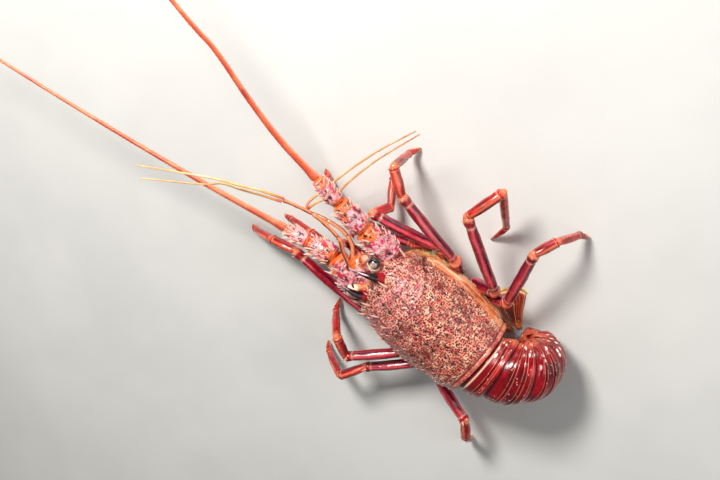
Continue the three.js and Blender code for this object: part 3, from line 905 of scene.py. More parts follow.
def make_carapace():
    """The back and sides with bumps, marks, grooves, swirls and a scar, closed underneath."""
    rows, columns, floor_columns = 306, 306, 12
    run = np.linspace(0, 1, rows)
    forward = (CARAPACE_LENGTH * (run - 0.018 * np.sin(2 * np.pi * run)))[:, None]
    limit = edge_angle(forward, SHELL_EDGE_LEVEL)
    angle = limit * np.linspace(-1, 1, columns)[None, :]
    forward = np.broadcast_to(forward, angle.shape)
    skin = trunk_point(forward, angle)
    out = trunk_out(forward, angle)
    places = skin
    steps = np.linalg.norm(np.diff(skin, axis=1), axis=2)
    arc = np.concatenate([np.zeros((rows, 1)), np.cumsum(steps, axis=1)], axis=1)
    arc = arc - arc[:, columns // 2:columns // 2 + 1]

    band_start = BACK_ANGLE + 0.3 * smooth(forward, 78, 98)
    edge = np.clip((band_start + 0.12 - np.abs(angle)) / 0.2, 0, 1)
    ends = smooth(forward, 3.6, 6.5) * smooth(CARAPACE_LENGTH - forward, 1.5, 6)
    live = ends * smooth(edge, 0.35, 0.8)
    groove = neck_groove(forward, angle)
    side_part = smooth(np.abs(angle), 0.75, 1.1)
    groove = groove * (0.35 + 0.65 * side_part)

    dome = domes(places * np.array([1.0, 0.72, 0.72]), 2.5, 3, 0.62, 0.15)
    big = domes(places, 5.2, 11, 0.5, 0.55)
    swell = noise(places, 14.0, 5) - 0.5

    # Dark dashes just ahead of each spine's root are painted shadow of the forward-leaning spine; the
    # further dashes below and the scars are real dark marks.
    marks = [(p + 2.2, a, 1.7 + 0.38 * n, 0.9 + 0.1 * n) for p, a, n in SPINE_PLAN]
    for sign in (-1, 1):
        for place in np.arange(60, 104, 2.6):
            for turn in np.arange(0.06, 1.2, 0.13):
                if rng.random() < 0.3:
                    here = place + rng.uniform(-1, 1)
                    aside = sign * (turn + rng.uniform(-0.03, 0.03))
                    marks.append((here, aside, 1.4, 0.5))
        for _ in range(REAR_MARKS):
            marks.append((rng.uniform(8, 60), sign * rng.uniform(0.05, 1.75), rng.uniform(0.9, 1.6), 0.5))
    spot = dashes(forward, angle, limit, marks) * np.clip(live + 0.2, 0, 1)

    height = live * (0.34 * dome + 0.45 * big - 0.38 * spot)
    height = height + 0.9 * swell * live - 1.5 * groove
    rim = band(forward - 1.5, 0.9)
    rear_groove = band(forward - 3.6, 0.7)
    height = height + 0.45 * rim - 0.6 * rear_groove
    front_rim = band(forward - (CARAPACE_LENGTH - 1.6), 1.2)
    side_rim = band((limit - np.abs(angle)) - 0.05, 0.04)
    wrinkle = noise(places * np.array([0.1, 1.0, 1.0]), 1.5, 7) - 0.5
    height = height + 0.5 * front_rim + 0.5 * side_rim + 0.8 * wrinkle * (1 - smooth(edge, 0.3, 0.9))
    across = (np.abs(angle) - SWIRL_ANGLE) * SIDE_SPAN
    swirl = np.hypot((forward - SWIRL_PLACE) / SWIRL_RADIUS, across / SWIRL_RADIUS)
    inside = smooth(1.25 - swirl, 0, 0.35)
    lines = np.cos(2 * np.pi * swirl * SWIRL_LINES)
    ring = inside * (0.5 + 0.5 * lines)
    height = height + 0.28 * ring * live
    height = height - 0.35 * band(angle, 0.012) * smooth(forward, 8, 14) * smooth(56 - forward, 0, 8)
    skin = raised(skin, out, height)

    floor, share = close_gap(skin, floor_columns)
    floor[..., 2] = floor[..., 2] + 6.0 * np.sin(np.pi * share[..., 0])
    grid = np.concatenate([skin, floor], axis=1)

    mottled = noise(places, 9.0, 41)
    # Towards the animal's left, the side left in shade, which the masks below paint darker.
    leftward = smooth(angle, -0.1, 0.9)
    # Dark red mottling of the shell, with more of it towards the left rear as painted shade.
    warm = smooth(mottled + 0.35 * leftward * smooth(70 - forward, 0, 40) - 0.12, 0.45, 0.85)
    gastric = smooth(forward, 58, 68) * smooth(1.1 - np.abs(angle), 0, 0.35)
    pale = smooth(noise(places, 6.0, 43), 0.48, 0.72) * gastric * 0.65
    broken = smooth(noise(places, 1.7, 73), 0.42, 0.6)
    arcs = inside * smooth(-lines, 0.1, 0.8) * (1 - broken)
    pale = np.maximum(pale, ring * broken * 0.95)
    pale = np.maximum(pale, 0.6 * smooth(forward, 90, 101) * smooth(mottled, 0.46, 0.64))
    scar_share = np.clip((np.abs(angle) - SCAR_ANGLE) / SCAR_TURN, 0, 1)
    scar_aside = SIDE_SPAN * (np.abs(angle) - SCAR_ANGLE - SCAR_TURN * scar_share)
    scar_off = np.hypot(forward - (SCAR_PLACE + SCAR_RUN * scar_share), scar_aside)
    scars = smooth(1.9 - scar_off, 0, 0.7) * smooth(noise(places, 2.4, 77), 0.32, 0.42)
    # Painted shade: darker red in the hollows between the bumps, more on the animal's left side; the swirl's
    # dark arcs joined in below are real marks.
    low = live * (1 - dome) * smooth(mottled, 0.4, 0.75) * (0.3 + 0.7 * leftward)
    teeth = 0.5 + 0.5 * np.cos(angle * 75)
    masks = {
        "run": forward,
        "arc": arc,
        "live": np.clip(live, 0, 1) * (1 - 0.4 * ring),
        # Pale tops of the bumps: partly paler tubercle tips, partly painted highlight.
        "high": np.clip(0.55 * dome + 0.6 * big, 0, 1) * live,
        "low": np.clip(low + 0.9 * arcs, 0, 1),
        "spot": np.clip(spot + scars, 0, 1),
        "pale": pale,
        "warm": warm,
        "rose": smooth(forward / 60 + 0.7 * angle, 0.45, 1.5) * smooth(noise(places, 7.0, 45), 0.3, 0.62),
        "bare": (1 - smooth(edge, 0.35, 1)) * (0.55 + 0.45 * smooth(wrinkle, -0.1, 0.15)),
        "streak": (1 - smooth(edge, 0.35, 1)) * smooth(-wrinkle, 0.08, 0.25),
        "edge_line": (
            band(np.abs(angle) - 1.52, 0.035) * smooth(forward, 46, 56) * smooth(92 - forward, 0, 8)
        ),
        "front": np.maximum(
            smooth(forward, 88, 98) * smooth(0.62 - np.abs(angle), 0, 0.25),
            0.8 * smooth(forward, 101, 104) * smooth(np.abs(angle), 0.8, 1.0),
        ),
        "comb": smooth(forward, 88, 96) * smooth(0.55 - np.abs(angle), 0, 0.2) * teeth,
        "rim": np.clip(rim + 0.7 * front_rim, 0, 1),
        "groove": np.clip(0.8 * groove + rear_groove, 0, 1),
    }
    build = Build()
    add_skin(build, grid, **widened(masks, rows, floor_columns))
    build.skin("carapace", carapace_look, "carapace_shell")


def make_trunk_spines():
    """The carapace's spines, larger towards the head, with pale tips over darker roots."""
    build = Build()
    places, angles, lengths = SPINE_PLAN.T
    roots = trunk_point(places, angles)
    out = trunk_out(places, angles)
    lean = unit(out + np.array([1.15, 0.0, 0.0]))
    radii = 0.38 + 0.13 * lengths
    add_spines(build, roots - out * 0.4, lean, lengths + 0.4, radii, bend=[0.22, 0, 0.03], sides=9, steps=6,
               dark=0.8 * (rng.random(len(lengths)) > 0.6))
    build.object("carapace_spines", spine_look)


def skin_patch(forward, angle):
    """Where a place on the trunk lies on the unwrap of its skin."""
    return stacked(0.06 + 0.86 * forward / CARAPACE_LENGTH, 0.5 + 0.46 * angle / np.pi)


def make_down():
    """Short pale bristles scattered over the carapace outside the neck groove, lying forward."""
    build = Build()
    forward = rng.uniform(7, 103, DOWN_COUNT)
    angle = rng.uniform(-BACK_ANGLE, BACK_ANGLE, DOWN_COUNT)
    free = neck_groove(forward, angle) < 0.5
    forward, angle = forward[free], angle[free]
    roots, out = trunk_point(forward, angle), trunk_out(forward, angle)
    ways = np.array([1.0, 0, 0]) + 0.42 * out + rng.normal(0, 0.16, roots.shape)
    lengths = rng.uniform(1.0, 1.9, len(roots))
    add_spines(build, roots - 0.1 * out, ways, lengths, 0.2, bend=-0.16 * out, sides=4, steps=3,
               patches=skin_patch(forward, angle))
    build.object("carapace_down", down_look)


def make_breast():
    """The plate that closes the trunk below, with cross grooves and a keel."""
    rows, columns, roof_columns = 150, 140, 10
    forward = (CARAPACE_LENGTH * np.linspace(0.004, 0.996, rows))[:, None]
    start = edge_angle(forward, SHELL_EDGE_LEVEL - 0.3)
    angle = start + (2 * np.pi - 2 * start) * np.linspace(0, 1, columns)[None, :]
    forward = np.broadcast_to(forward, angle.shape)
    skin = trunk_point(forward, angle)
    places = skin
    middle = np.abs(angle - np.pi)
    plates = band((((forward + 3 * middle) / 16.5) % 1) - 0.5, 0.07) * smooth(0.9 - middle, 0, 0.3)
    keel = band(middle, 0.05) * smooth(forward, 10, 20)
    lumps = noise(places, 4.0, 51)
    drop = -0.9 * plates - 0.7 * keel + 0.5 * (lumps - 0.5)
    skin[..., 2] = skin[..., 2] - drop * smooth(np.pi - start - middle, 0.05, 0.3)
    roof, _ = close_gap(skin, roof_columns)
    grid = np.concatenate([skin, roof], axis=1)
    build = Build()
    masks = {"groove": np.clip(plates + keel, 0, 1), "high": smooth(lumps, 0.5, 0.8)}
    add_skin(build, grid, **widened(masks, rows, roof_columns))
    build.skin("breast_plate", belly_look, "belly_shell")


def make_edge_fringe():
    """Bristles that hang from the carapace's lower edges, longest near the front legs."""
    build = Build()
    for sign in (-1, 1):
        forward = rng.uniform(6, 104, EDGE_BRISTLES)
        depth = rng.uniform(0, 1, EDGE_BRISTLES)
        angle = edge_angle(forward, SHELL_EDGE_LEVEL + 0.5 + 3.5 * depth)
        roots = trunk_point(forward, sign * angle)
        out = trunk_out(forward, sign * angle)
        ways = out * 0.7 + np.array([0.25, 0, -0.75]) + rng.normal(0, 0.14, roots.shape)
        lengths = (1.8 + 3.4 * smooth(forward, 62, 88)) * rng.uniform(0.7, 1.2, EDGE_BRISTLES)
        add_spines(build, roots - out * 0.2, ways, lengths, 0.25, bend=[-0.1, 0, -0.3], sides=4, steps=3,
                   patches=skin_patch(forward, sign * angle))
    build.object("edge_fringe", bristle_look)


make_carapace()
make_trunk_spines()
make_down()
make_breast()
make_edge_fringe()


# Tail

tail_width = graded([(0, TAIL_HALF_WIDTH), (45, TAIL_HALF_WIDTH), (110, 26), (141, 20)])
tail_depth = graded([(0, TAIL_DEPTH), (60, TAIL_DEPTH), (115, 21), (141, 12)])
RING_STARTS = np.concatenate([[0], np.cumsum(RING_LENGTHS)])


def swung(forward, left, level):
    """Turns what lies behind the carapace towards the animal's left, as the bent tail goes."""
    slant = TAIL_SIDE_SLOPE * forward
    turn = -np.minimum(forward, 0) / TAIL_SWING_RADIUS
    reach = TAIL_SWING_RADIUS + left
    ahead = np.where(forward > 0, forward, -reach * np.sin(turn))
    sideways = np.where(forward > 0, left, reach * np.cos(turn) - TAIL_SWING_RADIUS) + slant
    return stacked(ahead, sideways, level)


def tail_point(run, left, depth):
    """A point of the tail at a run along its back, a distance left and a depth below the back."""
    turn = (run - TAIL_STRAIGHT) / TAIL_RADIUS
    reach = TAIL_RADIUS - depth
    straight = run < TAIL_STRAIGHT
    forward = np.where(straight, -run, -TAIL_STRAIGHT - reach * np.sin(turn))
    level = np.where(straight, 2 * TAIL_RADIUS - depth, TAIL_RADIUS + reach * np.cos(turn))
    return swung(forward, left, level)


def make_ring(number):
    """One ring: a smooth front under the ring before, grooves, a raised rear margin and side lobes."""
    rows, columns = 90, 240
    start, length = RING_STARTS[number], RING_LENGTHS[number]
    share = np.linspace(0, 1, rows)[:, None]
    angle = np.linspace(-np.pi, np.pi, columns, endpoint=False)[None, :]
    angle, share = np.broadcast_arrays(angle, share)
    side, rise = np.sin(angle), np.cos(angle)
    reach = np.abs(angle) / (np.pi / 2)
    rear_bow = 1.6 * smooth(reach, 0.55, 1.05) * smooth(1.5 - reach, 0, 0.3)
    run = start + length * share + rear_bow * smooth(share, 0.75, 1.0) * (number < 5)
    sink_of = graded([(0, 1.7), (0.16, 1.0), (0.3, 0.1), (0.55, -0.1), (0.86, -0.6), (1, 0.2)])
    sink = sink_of(share)
    cross = [0.36, 0.66] if 0 < number < 5 else [0.62]
    groove = np.zeros_like(share)
    line = np.zeros_like(share)
    sweep = 0.045 * np.cos(2 * angle)
    for place in cross:
        open_mid = smooth(np.abs(angle), 0.0, 0.12) if place > 0.5 and number > 2 else 1.0
        groove = groove + band((share - place - sweep) * length, 0.55) * open_mid
        for offset in (-1.25, 1.35):
            line = line + band((share - place - sweep) * length - offset, 0.28) * open_mid
    top = smooth(1.45 - np.abs(angle), 0, 0.25)
    groove, line = groove * top, line * top
    lip = band((1 - share) * length - 1.5, 0.7)
    lip_line = band((1 - share) * length - 2.9, 0.33) * smooth(1.6 - np.abs(angle), 0, 0.2)
    keel = band(angle, 0.05) * smooth(share, 0.3, 0.5) * (number == 5)
    lift = -0.75 * groove + 0.22 * line + 0.35 * lip + 0.18 * lip_line + 0.6 * keel
    sink = sink - lift
    half = (tail_width(run) - sink) * spow(side, 0.94)
    deep = tail_depth(run)
    upper = sink + (deep - sink) * (1 - np.abs(rise) ** 0.9)
    lower = deep + 3.0 * np.abs(rise) * smooth(np.abs(rise), 0.0, 0.5)
    depth = np.where(rise >= 0, upper, lower)
    skin = tail_point(run, half, depth)
    places = np.stack([run, half, depth], axis=-1)
    large_dot = dots(places * np.array([1.0, 0.42, 0.6]), 3.6, 61 + number, 0.36, 0.6)
    small_dot = dots(places, 2.6, 81 + number, 0.19, 0.72, soft=0.05)
    spot = np.maximum(large_dot * smooth(np.abs(angle), 0.3, 0.6), 0.8 * small_dot)
    stipple = dots(places, 1.5, 97, 0.34, 0.5, soft=0.15)
    lobe = smooth(np.abs(angle), 1.2, 1.5)
    masks = {
        "side": lobe * smooth(noise(places, 5.0, 71), 0.3, 0.6),
        "groove": np.clip(groove + smooth(0.12 - share, 0, 0.08) * (number > 0), 0, 1),
        "line": np.clip(line + lip_line, 0, 1) * smooth(noise(places, 3.0, 73), 0.12, 0.35),
        "rim": lip * 0.8,
        "spot": spot * (1 - np.clip(groove, 0, 1)) * smooth(share, 0.12, 0.25),
        "stipple": stipple * smooth(share, 0.1, 0.3) * (0.35 if number else 0.9),
        "cream": (number == 0) * band((share - 0.24) * length, 0.6) * smooth(2.0 - np.abs(angle), 0, 0.3),
    }
    keep_above(skin, 0.0)
    build = Build()
    add_skin(build, skin, **masks)
    add_side_lobes(build, number)
    build.skin(f"tail_ring_{number + 1}", tail_look, "tail_shell")


def add_side_lobes(build, number):
    """A backward pointing lobe at each side of a ring's lower edge, with small teeth on its rear side."""
    rows, columns = 26, 20
    start, length = RING_STARTS[number], RING_LENGTHS[number]
    for sign in (-1, 1):
        share = np.linspace(0, 1, rows)[:, None]
        angle = once_round(columns)
        long = (11.0 if number else 7.0) + (1.5 if sign < 0 else 0.0)
        wide = (0.40 * length) * (1 - share ** 1.7) + 0.25
        thick = 1.5 * (1 - share ** 2) + 0.2
        middle = start + length * (0.52 + 0.42 * share)
        run = middle + wide * np.cos(angle)
        out = tail_width(run) - 1.8 + 0.9 * np.sin(np.pi * share) + thick * np.sin(angle)
        depth = tail_depth(run) - 3.5 + long * share
        point = tail_point(run, sign * out, depth)
        keep_above(point, 0.2)
        grid = point if sign > 0 else point[:, ::-1]
        add_skin(build, grid, side=0.75, rim=smooth(share, 0.6, 1.0))


SWING_ROOT = -29.0
FAN_THICKNESS = 2.2
FAN_BRISTLES = 150
FAN_UNWRAP = 140
FAN_BLADES = {
    "tail_fan_middle": (-14.5, 14.5, 64.0),
    "tail_fan_inner_L": (16.0, 35.5, 65.0),
    "tail_fan_inner_R": (-35.5, -16.0, 65.0),
    "tail_fan_outer_L": (37.0, 60.0, 62.0),
    "tail_fan_outer_R": (-60.0, -37.0, 62.0),
}


def fan_place(turn, reach, level):
    """A place on the fan: degrees from straight ahead and a reach from the tail's last joint."""
    radians = np.radians(turn)
    return swung(SWING_ROOT + reach * np.cos(radians), reach * np.sin(radians), level)


def blade_end(reach, across):
    """How far a blade reaches, less towards its sides, where across is -1 and 1."""
    return reach - 5.0 * np.abs(across) ** 3.2


def make_blade(name):
    """One blade of the fan with fine ribs, strong edges and knobs near its root."""
    low, high, reach = FAN_BLADES[name]
    rows, columns = 110, 96
    root = 20.0 if name == "tail_fan_middle" else 17.0
    share = np.linspace(0, 1, rows)[:, None]
    across = np.linspace(-1, 1, columns)[None, :]
    share, across = np.broadcast_arrays(share, across)
    middle, half = (low + high) / 2, (high - low) / 2
    narrow = graded([(0, 0.72), (0.25, 0.9), (0.7, 1.0), (1, 0.94)])(share)
    run = root + (blade_end(reach, across) - root) * share
    turn = middle + half * across * narrow
    rib = np.cos(across * np.pi * 9 + 0.5) * smooth(share, 0.18, 0.35)
    strong = band(across, 0.07) + 0.6 * band(np.abs(across) - 0.86, 0.06)
    lobe = smooth(0.42 - share, 0, 0.2)
    edge = smooth(1 - np.abs(across), 0, 0.12) * smooth(1 - share, 0, 0.05)
    places = fan_place(turn, run, 0 * run)
    knob = domes(places, 2.4, 91, 0.5, 0.45, soft=0.7)
    rise = 0.24 * rib * (1 - lobe) + 0.5 * strong * smooth(share, 0.0, 0.2) + 0.45 * knob * lobe
    bow = 1.2 * (1 - across**2)
    top = fan_place(turn, run, 0.35 + edge * (FAN_THICKNESS - 0.9 + bow + rise))
    under = fan_place(turn, run, np.zeros_like(run))
    masks = {
        "groove": smooth(-rib, 0.2, 0.9) * (1 - lobe),
        "high": np.clip(strong + knob * lobe, 0, 1),
        "rim": smooth(share, 0.9, 0.98),
    }
    under = under[:, ::-6]
    build = Build()
    add_skin(build, np.concatenate([top, under], axis=1), **widened(masks, rows, under.shape[1]))
    build.skin(name, fan_look, "fan_shell")


def make_fan_fringe():
    """Short bristles along the free rear edge of every blade."""
    build = Build()
    roots, ways, patches = [], [], []
    for low, high, reach in FAN_BLADES.values():
        for across in np.linspace(-0.97, 0.97, FAN_BRISTLES):
            turn = (low + high) / 2 + (high - low) / 2 * across * 0.94
            start = blade_end(reach, across) - 0.8
            level = 0.5 + 0.9 * rng.random()
            here = fan_place(np.array(turn), np.array(start), np.array(level))
            there = fan_place(np.array(turn + rng.uniform(-0.6, 0.6)), np.array(start + 5), np.array(level))
            roots.append(here)
            ways.append(there - here)
            bearing = math.radians(turn)
            patches.append((
                0.5 + start * math.sin(bearing) / FAN_UNWRAP, 0.1 + start * math.cos(bearing) / FAN_UNWRAP
            ))
    roots = np.array(roots)
    lengths = 2.6 + 0.8 * rng.random(len(roots))
    add_spines(build, roots, ways, lengths, 0.27, sides=4, steps=2, patches=patches)
    build.object("tail_fan_fringe", bristle_look)


for ring in range(len(RING_LENGTHS)):
    make_ring(ring)
for blade in FAN_BLADES:
    make_blade(blade)
make_fan_fringe()


# Head

def bezier(a, b, c, steps):
    """Points of a curve from a to c that bends towards b."""
    t = np.linspace(0, 1, steps)[:, None]
    return (1 - t) ** 2 * np.array(a) + 2 * t * (1 - t) * np.array(b) + t**2 * np.array(c)


def make_horn(side, sign):
    """A horn over the eye, curved forward, dark, with a pale painted highlight along the side that faces up
    and to the animal's right.
    """
    rows, columns = 120, 40
    path = bezier((97, sign * 10.5, 62.5), (106, sign * 11, 77), (119, sign * 8.8, 80), rows)
    share = np.linspace(0, 1, rows)
    radius = graded([(0, 5.2), (0.3, 4.0), (0.55, 2.5), (0.8, 1.7), (1, 0.3)])(share)
    grid, angle = tube_grid(path, radius, columns, 1.15)
    out = normals_of(grid)
    places = grid
    lumps = noise(places, 2.2, 101) - 0.5
    along = share[:, None]
    ridge = band(np.sin(angle / 2), 0.1) * smooth(along, 0.1, 0.3)
    grid = raised(grid, out, 0.5 * lumps * smooth(1 - along, 0, 0.8) + 0.3 * ridge)
    # Painted highlight: a pale line along the side of the horn that faces up and to the animal's right.
    toward = unit(grid - path[:, None, :]) @ unit(np.array([0.0, -0.62, 0.78]))
    line = smooth(toward, 0.95 - 0.05 * along, 0.975 - 0.03 * along) * smooth(along, 0.36, 0.44)
    build = Build()
    add_skin(build, grid, root=smooth(0.42 - along, 0, 0.1), line=line, tip=smooth(along, 0.95, 1.0))
    build.skin(f"horn_{side}", horn_look, "horn_shell")


def ball(centre, radii, rows=64, columns=72):
    """A closed rounded form with its poles towards the animal's left and right."""
    polar = np.linspace(0.02, np.pi - 0.02, rows)[:, None]
    around = once_round(columns)
    ahead = np.sin(polar) * np.cos(around) * radii[0]
    above = np.sin(polar) * np.sin(around) * radii[2]
    return stacked(ahead, np.cos(polar) * radii[1], above) + np.array(centre, float), polar


EYE_CENTRE = (112.0, 16.4, 66.0)
EYE_RADIUS = 5.1
# The direction that the eye's painted reflection faces: up, a little back and to the animal's right.
EYE_GLARE_WAY = (-0.1, -0.05, 1.0)


def make_eye(side, sign):
    """An eye, and the stalk with the cup that holds it."""
    centre = (EYE_CENTRE[0], sign * EYE_CENTRE[1], EYE_CENTRE[2])
    grid, polar = ball(centre, (EYE_RADIUS, EYE_RADIUS * 0.96, EYE_RADIUS))
    inner = np.cos(polar) * -sign
    build = Build()
    # The painted reflection covers the part of the ball that faces that direction most.
    above = unit(grid - np.array(centre)) @ unit(np.array(EYE_GLARE_WAY))
    add_skin(build, grid, rim=smooth(inner, 0.25, 0.6), bloom=smooth(above, 0.78, 0.9))
    build.object(f"eye_{side}_ball", eye_look, [f"eye_{side}"])

    stalk = Build()
    path, _ = curve_through(
        [(101, sign * 6, 60), (107, sign * 10, 63), (110.3, sign * 13.6, 64.8)], 60
    )
    share = np.linspace(0, 1, 60)
    radius = graded([(0, 3.8), (0.5, 3.5), (0.8, 3.8), (1, 4.7)])(share)
    tube, angle = tube_grid(path, radius, 48)
    lumps = noise(tube, 1.6, 111) - 0.5
    tube = raised(tube, normals_of(tube), 0.35 * lumps)
    collar = smooth(share, 0.72, 0.9)[:, None]
    upper = smooth(np.cos(angle), -0.5, 0.5)
    root = 0.6 * smooth(0.3 - share, 0, 0.2)[:, None]
    add_skin(stalk, tube, pale=collar * upper, deep=collar * (1 - upper) + root)
    cup_rows, cup_columns = 26, 72
    polar = np.linspace(0.5, 1.12, cup_rows)[:, None]
    around = once_round(cup_columns)
    swell = EYE_RADIUS + 0.3 * np.sin(np.pi * np.linspace(0, 1, cup_rows))[:, None]
    ahead = np.sin(polar) * np.cos(around) * swell
    above = np.sin(polar) * np.sin(around) * swell
    cup = stacked(ahead, -sign * np.cos(polar) * swell, above) + np.array(centre)
    pale = smooth(np.sin(around), -0.6, 0.4)
    if sign < 0:
        cup, pale = cup[:, ::-1], pale[:, ::-1]
    add_skin(stalk, cup, pale=pale, deep=1 - pale)
    stalk.skin(f"eye_stalk_{side}", stalk_look, "eye_stalk")


SEGMENT_RADII = [(10.2, 11.2, 9.2), (8.9, 9.4, 7.4), (6.4, 6.7, 5.2)]
ANTENNAE = {
    "R": {
        "joints": [
            (106, -23, 47), (135.2, -25.4, 52), (163, -33.2, 58), (187.2, -40.2, 65),
        ],
        "whip": [
            (187.2, -40.2, 65), (225.9, -50.1, 73), (260.1, -63.6, 81), (299, -81.4, 90),
            (331.2, -90.9, 97), (445, -124.5, 112), (540, -152.5, 120),
        ],
    },
    "L": {
        "joints": [(106, 22, 47), (138, 13.5, 47), (162, 19, 46), (184, 25, 44)],
        "whip": [(184, 25, 44), (270, 38, 54), (360, 50, 63), (450, 61, 70), (548, 72, 76)],
    },
}
# Share of the segment's length, angle and spine length
STRONG_SPINES = [
    (0.74, 0.0, 7.5), (0.74, 0.9, 7.5), (0.74, -0.9, 7.5), (0.48, 0.45, 5.4), (0.46, -0.55, 5.4),
    (0.3, 0.05, 4.6), (0.26, 1.2, 4.2), (0.3, -1.3, 4.2), (0.82, 1.7, 4.4), (0.82, -1.7, 4.4),
    (0.55, 1.5, 3.6), (0.55, -1.6, 3.6), (0.84, 0.45, 4.6), (0.84, -0.45, 4.6),
]
SMALL_SPINES = 170
SMALL_SPINE_LENGTHS = [1.0, 1.5, 2.2, 3.4]
WHIP_RADIUS = 3.1
WHIP_TIP_RADIUS = 0.7
WHIP_SPLIT = 0.45
WHIP_ROWS = 900
WHIP_COLUMNS = 16
RING_STEP = 2.0
RING_STEP_LOSS = 0.6
LEAST_BRISTLE_RADIUS = 0.9


def round_ends(share, end, least):
    """A factor along a limb length: 1 in the middle, falling roundly to a least value at both ends."""
    close = np.clip(np.minimum(share, 1 - share) / end, 0, 1)
    return least + (1 - least) * np.sqrt(np.clip(1 - (1 - close) ** 2, 0, 1))


def close_rows(rows):
    """Shares from 0 to 1 that lie closer together near both ends."""
    even = np.linspace(0, 1, rows)
    return even - 0.11 * np.sin(2 * np.pi * even)


def make_antenna_segment(side, index):
    """One thick segment of an antenna, bumpy and spotted, with orange ends."""
    joints = ANTENNAE[side]["joints"]
    a, b = np.array(joints[index], float), np.array(joints[index + 1], float)
    rows, columns = 124, 108
    share = close_rows(rows)
    if index == 0:
        a = a + (a - b) * 0.12
    path = a + (b - a) * share[:, None]
    path[:, 2] = path[:, 2] + 0.5 * np.sin(np.pi * share)
    first, middle, last = SEGMENT_RADII[index]
    base = graded([(0, first * 0.86), (0.12, first), (0.45, middle), (0.86, last), (1, last * 0.9)])(share)
    base = base * round_ends(share, 0.09, 0.4)
    grid, _ = tube_grid(path, base, columns)
    out = normals_of(grid)
    places = grid
    along = share[:, None]
    dome = domes(places, 3.4, 121 + index, 0.6, 0.35)
    collar = band(along - 0.93, 0.03)
    furrow = band(along - 0.87, 0.02) + band(along - 0.1, 0.02)
    lumps = noise(places, 6.0, 131) - 0.5
    grid = raised(grid, out, 0.55 * dome + 0.35 * collar - 0.6 * furrow + 1.1 * lumps)
    spot = dots(places * np.array([0.6, 1, 1]), 3.9, 141 + index, 0.4, 0.4)
    bare = 0.08 * index
    patch = smooth(noise(places, 3.2, 151), 0.52 - bare, 0.66 - bare)
    joint = smooth(np.abs(along - 0.5), 0.42, 0.47)
    ends = np.maximum(smooth(along, 0.6, 0.95), smooth(0.32 - along, 0, 0.3) * (index > 0))
    orange = smooth(0.62 * ends + noise(places, 5.0, 156), 0.84, 0.96)
    patch = patch * (1 - orange)
    dome_colour = dome * (1 - orange)
    masks = {
        "joint": joint,
        "orange": orange * smooth(out[..., 2], -0.3, 0.2),
        "spot": spot * (1 - joint),
        "pale": np.maximum(dome_colour * 0.7, patch * 0.8) * (1 - joint),
        "groove": np.clip(furrow, 0, 1),
    }
    build = Build()
    add_skin(build, grid, **masks)
    build.skin(f"antenna_{side}_segment_{index + 1}", antenna_look, "antenna_shell")
    return grid, out, share


def add_segment_spines(build, grid, out, share, index):
    """Rows of strong spines on the upper and inner sides of one antenna segment."""
    columns = grid.shape[1]
    along = unit(grid[-20].mean(axis=0) - grid[20].mean(axis=0))
    roots, ways, lengths = [], [], []
    for place, angle, length in STRONG_SPINES:
        row = row_at(share, place)
        column = column_at(angle, columns)
        roots.append(grid[row, column] - out[row, column] * 0.5)
        ways.append(out[row, column] + along * 1.05)
        lengths.append(length * (1 - 0.14 * index))
    for _ in range(SMALL_SPINES):
        row = row_at(share, rng.uniform(0.12, 0.86))
        column = int(rng.integers(columns))
        roots.append(grid[row, column] - out[row, column] * 0.3)
        ways.append(out[row, column] + along * 1.1)
        lengths.append(rng.choice(SMALL_SPINE_LENGTHS) * rng.uniform(0.8, 1.2))
    lengths = np.array(lengths)
    radii = 0.17 + 0.135 * lengths
    add_spines(build, roots, ways, lengths, radii, bend=along * 0.22, sides=8, steps=5, cream=1.0)


def whip_radius(share):
    """Radius along a whip."""
    return WHIP_RADIUS + (WHIP_TIP_RADIUS - WHIP_RADIUS) * share**0.6


def make_whip(side, part, start, end):
    """A stretch of the long whip: fine rings, a paler band on two sides, short bristles at the rings."""
    path, length = curve_through(ANTENNAE[side]["whip"], WHIP_ROWS)
    share = np.linspace(0, 1, WHIP_ROWS)
    fine = np.linspace(start, end, WHIP_ROWS)
    path = np.stack([np.interp(fine, share, path[:, k]) for k in range(3)], axis=1)
    ring_step = RING_STEP - RING_STEP_LOSS * fine
    phase = np.cumsum(np.concatenate([[0], np.diff(fine) * length / ring_step[1:]]))
    wave = np.abs(np.sin(np.pi * phase)) ** 0.5
    radius = whip_radius(fine) * (0.94 + 0.08 * wave)
    if start == 0:
        radius = radius * (1 + 0.25 * band(fine * length - 3, 5))
        radius[:8] = radius[:8] * np.linspace(0.6, 1, 8)
    grid, angle = tube_grid(path, radius, WHIP_COLUMNS)
    build = Build()
    add_skin(build, grid, low=(1 - wave)[:, None], side=band(np.abs(np.sin(angle)) - 1, 0.12))
    along, across, over = frames_along(path)
    roots, ways, lengths = [], [], []
    last = -1
    for row in range(4, WHIP_ROWS - 4):
        if int(phase[row]) == last or radius[row] < LEAST_BRISTLE_RADIUS:
            continue
        last = int(phase[row])
        for turn in np.arange(6) * np.pi / 3 + (last % 2) * np.pi / 6:
            out = across[row] * np.sin(turn) + over[row] * np.cos(turn)
            roots.append(path[row] + out * radius[row] * 0.9)
            ways.append(out * 0.5 + along[row] * 0.85)
            lengths.append(0.35 * radius[row] + 0.75)
    lengths = np.array(lengths) * rng.uniform(0.8, 1.2, len(lengths))
    add_spines(build, roots, ways, lengths, 0.20 + 0.05 * lengths, sides=4, steps=2)
    build.skin(f"antenna_{side}_whip_{part}", whip_look, "whip_shell")


PLATE_STATIONS = [(101, 0, 47), (104, 0, 48), (116, 0, 51), (124, 0, 54), (127.5, 0, 56)]
PLATE_RADII = [(0, 9.0), (0.12, 10), (0.55, 9.5), (0.85, 7.5), (1, 5.2)]
PLATE_STRONG_SPINES = [
    (0.5, 0.5, 5.0), (0.5, -0.5, 5.0), (0.78, 0.35, 3.6), (0.78, -0.35, 3.6), (0.25, 1.0, 2.8),
    (0.25, -1.0, 2.8), (0.6, 1.3, 2.4), (0.6, -1.3, 2.4), (0.35, 0.15, 2.4), (0.9, 0.9, 2.0),
    (0.9, -0.9, 2.0),
]
PLATE_SMALL_SPINES = 90


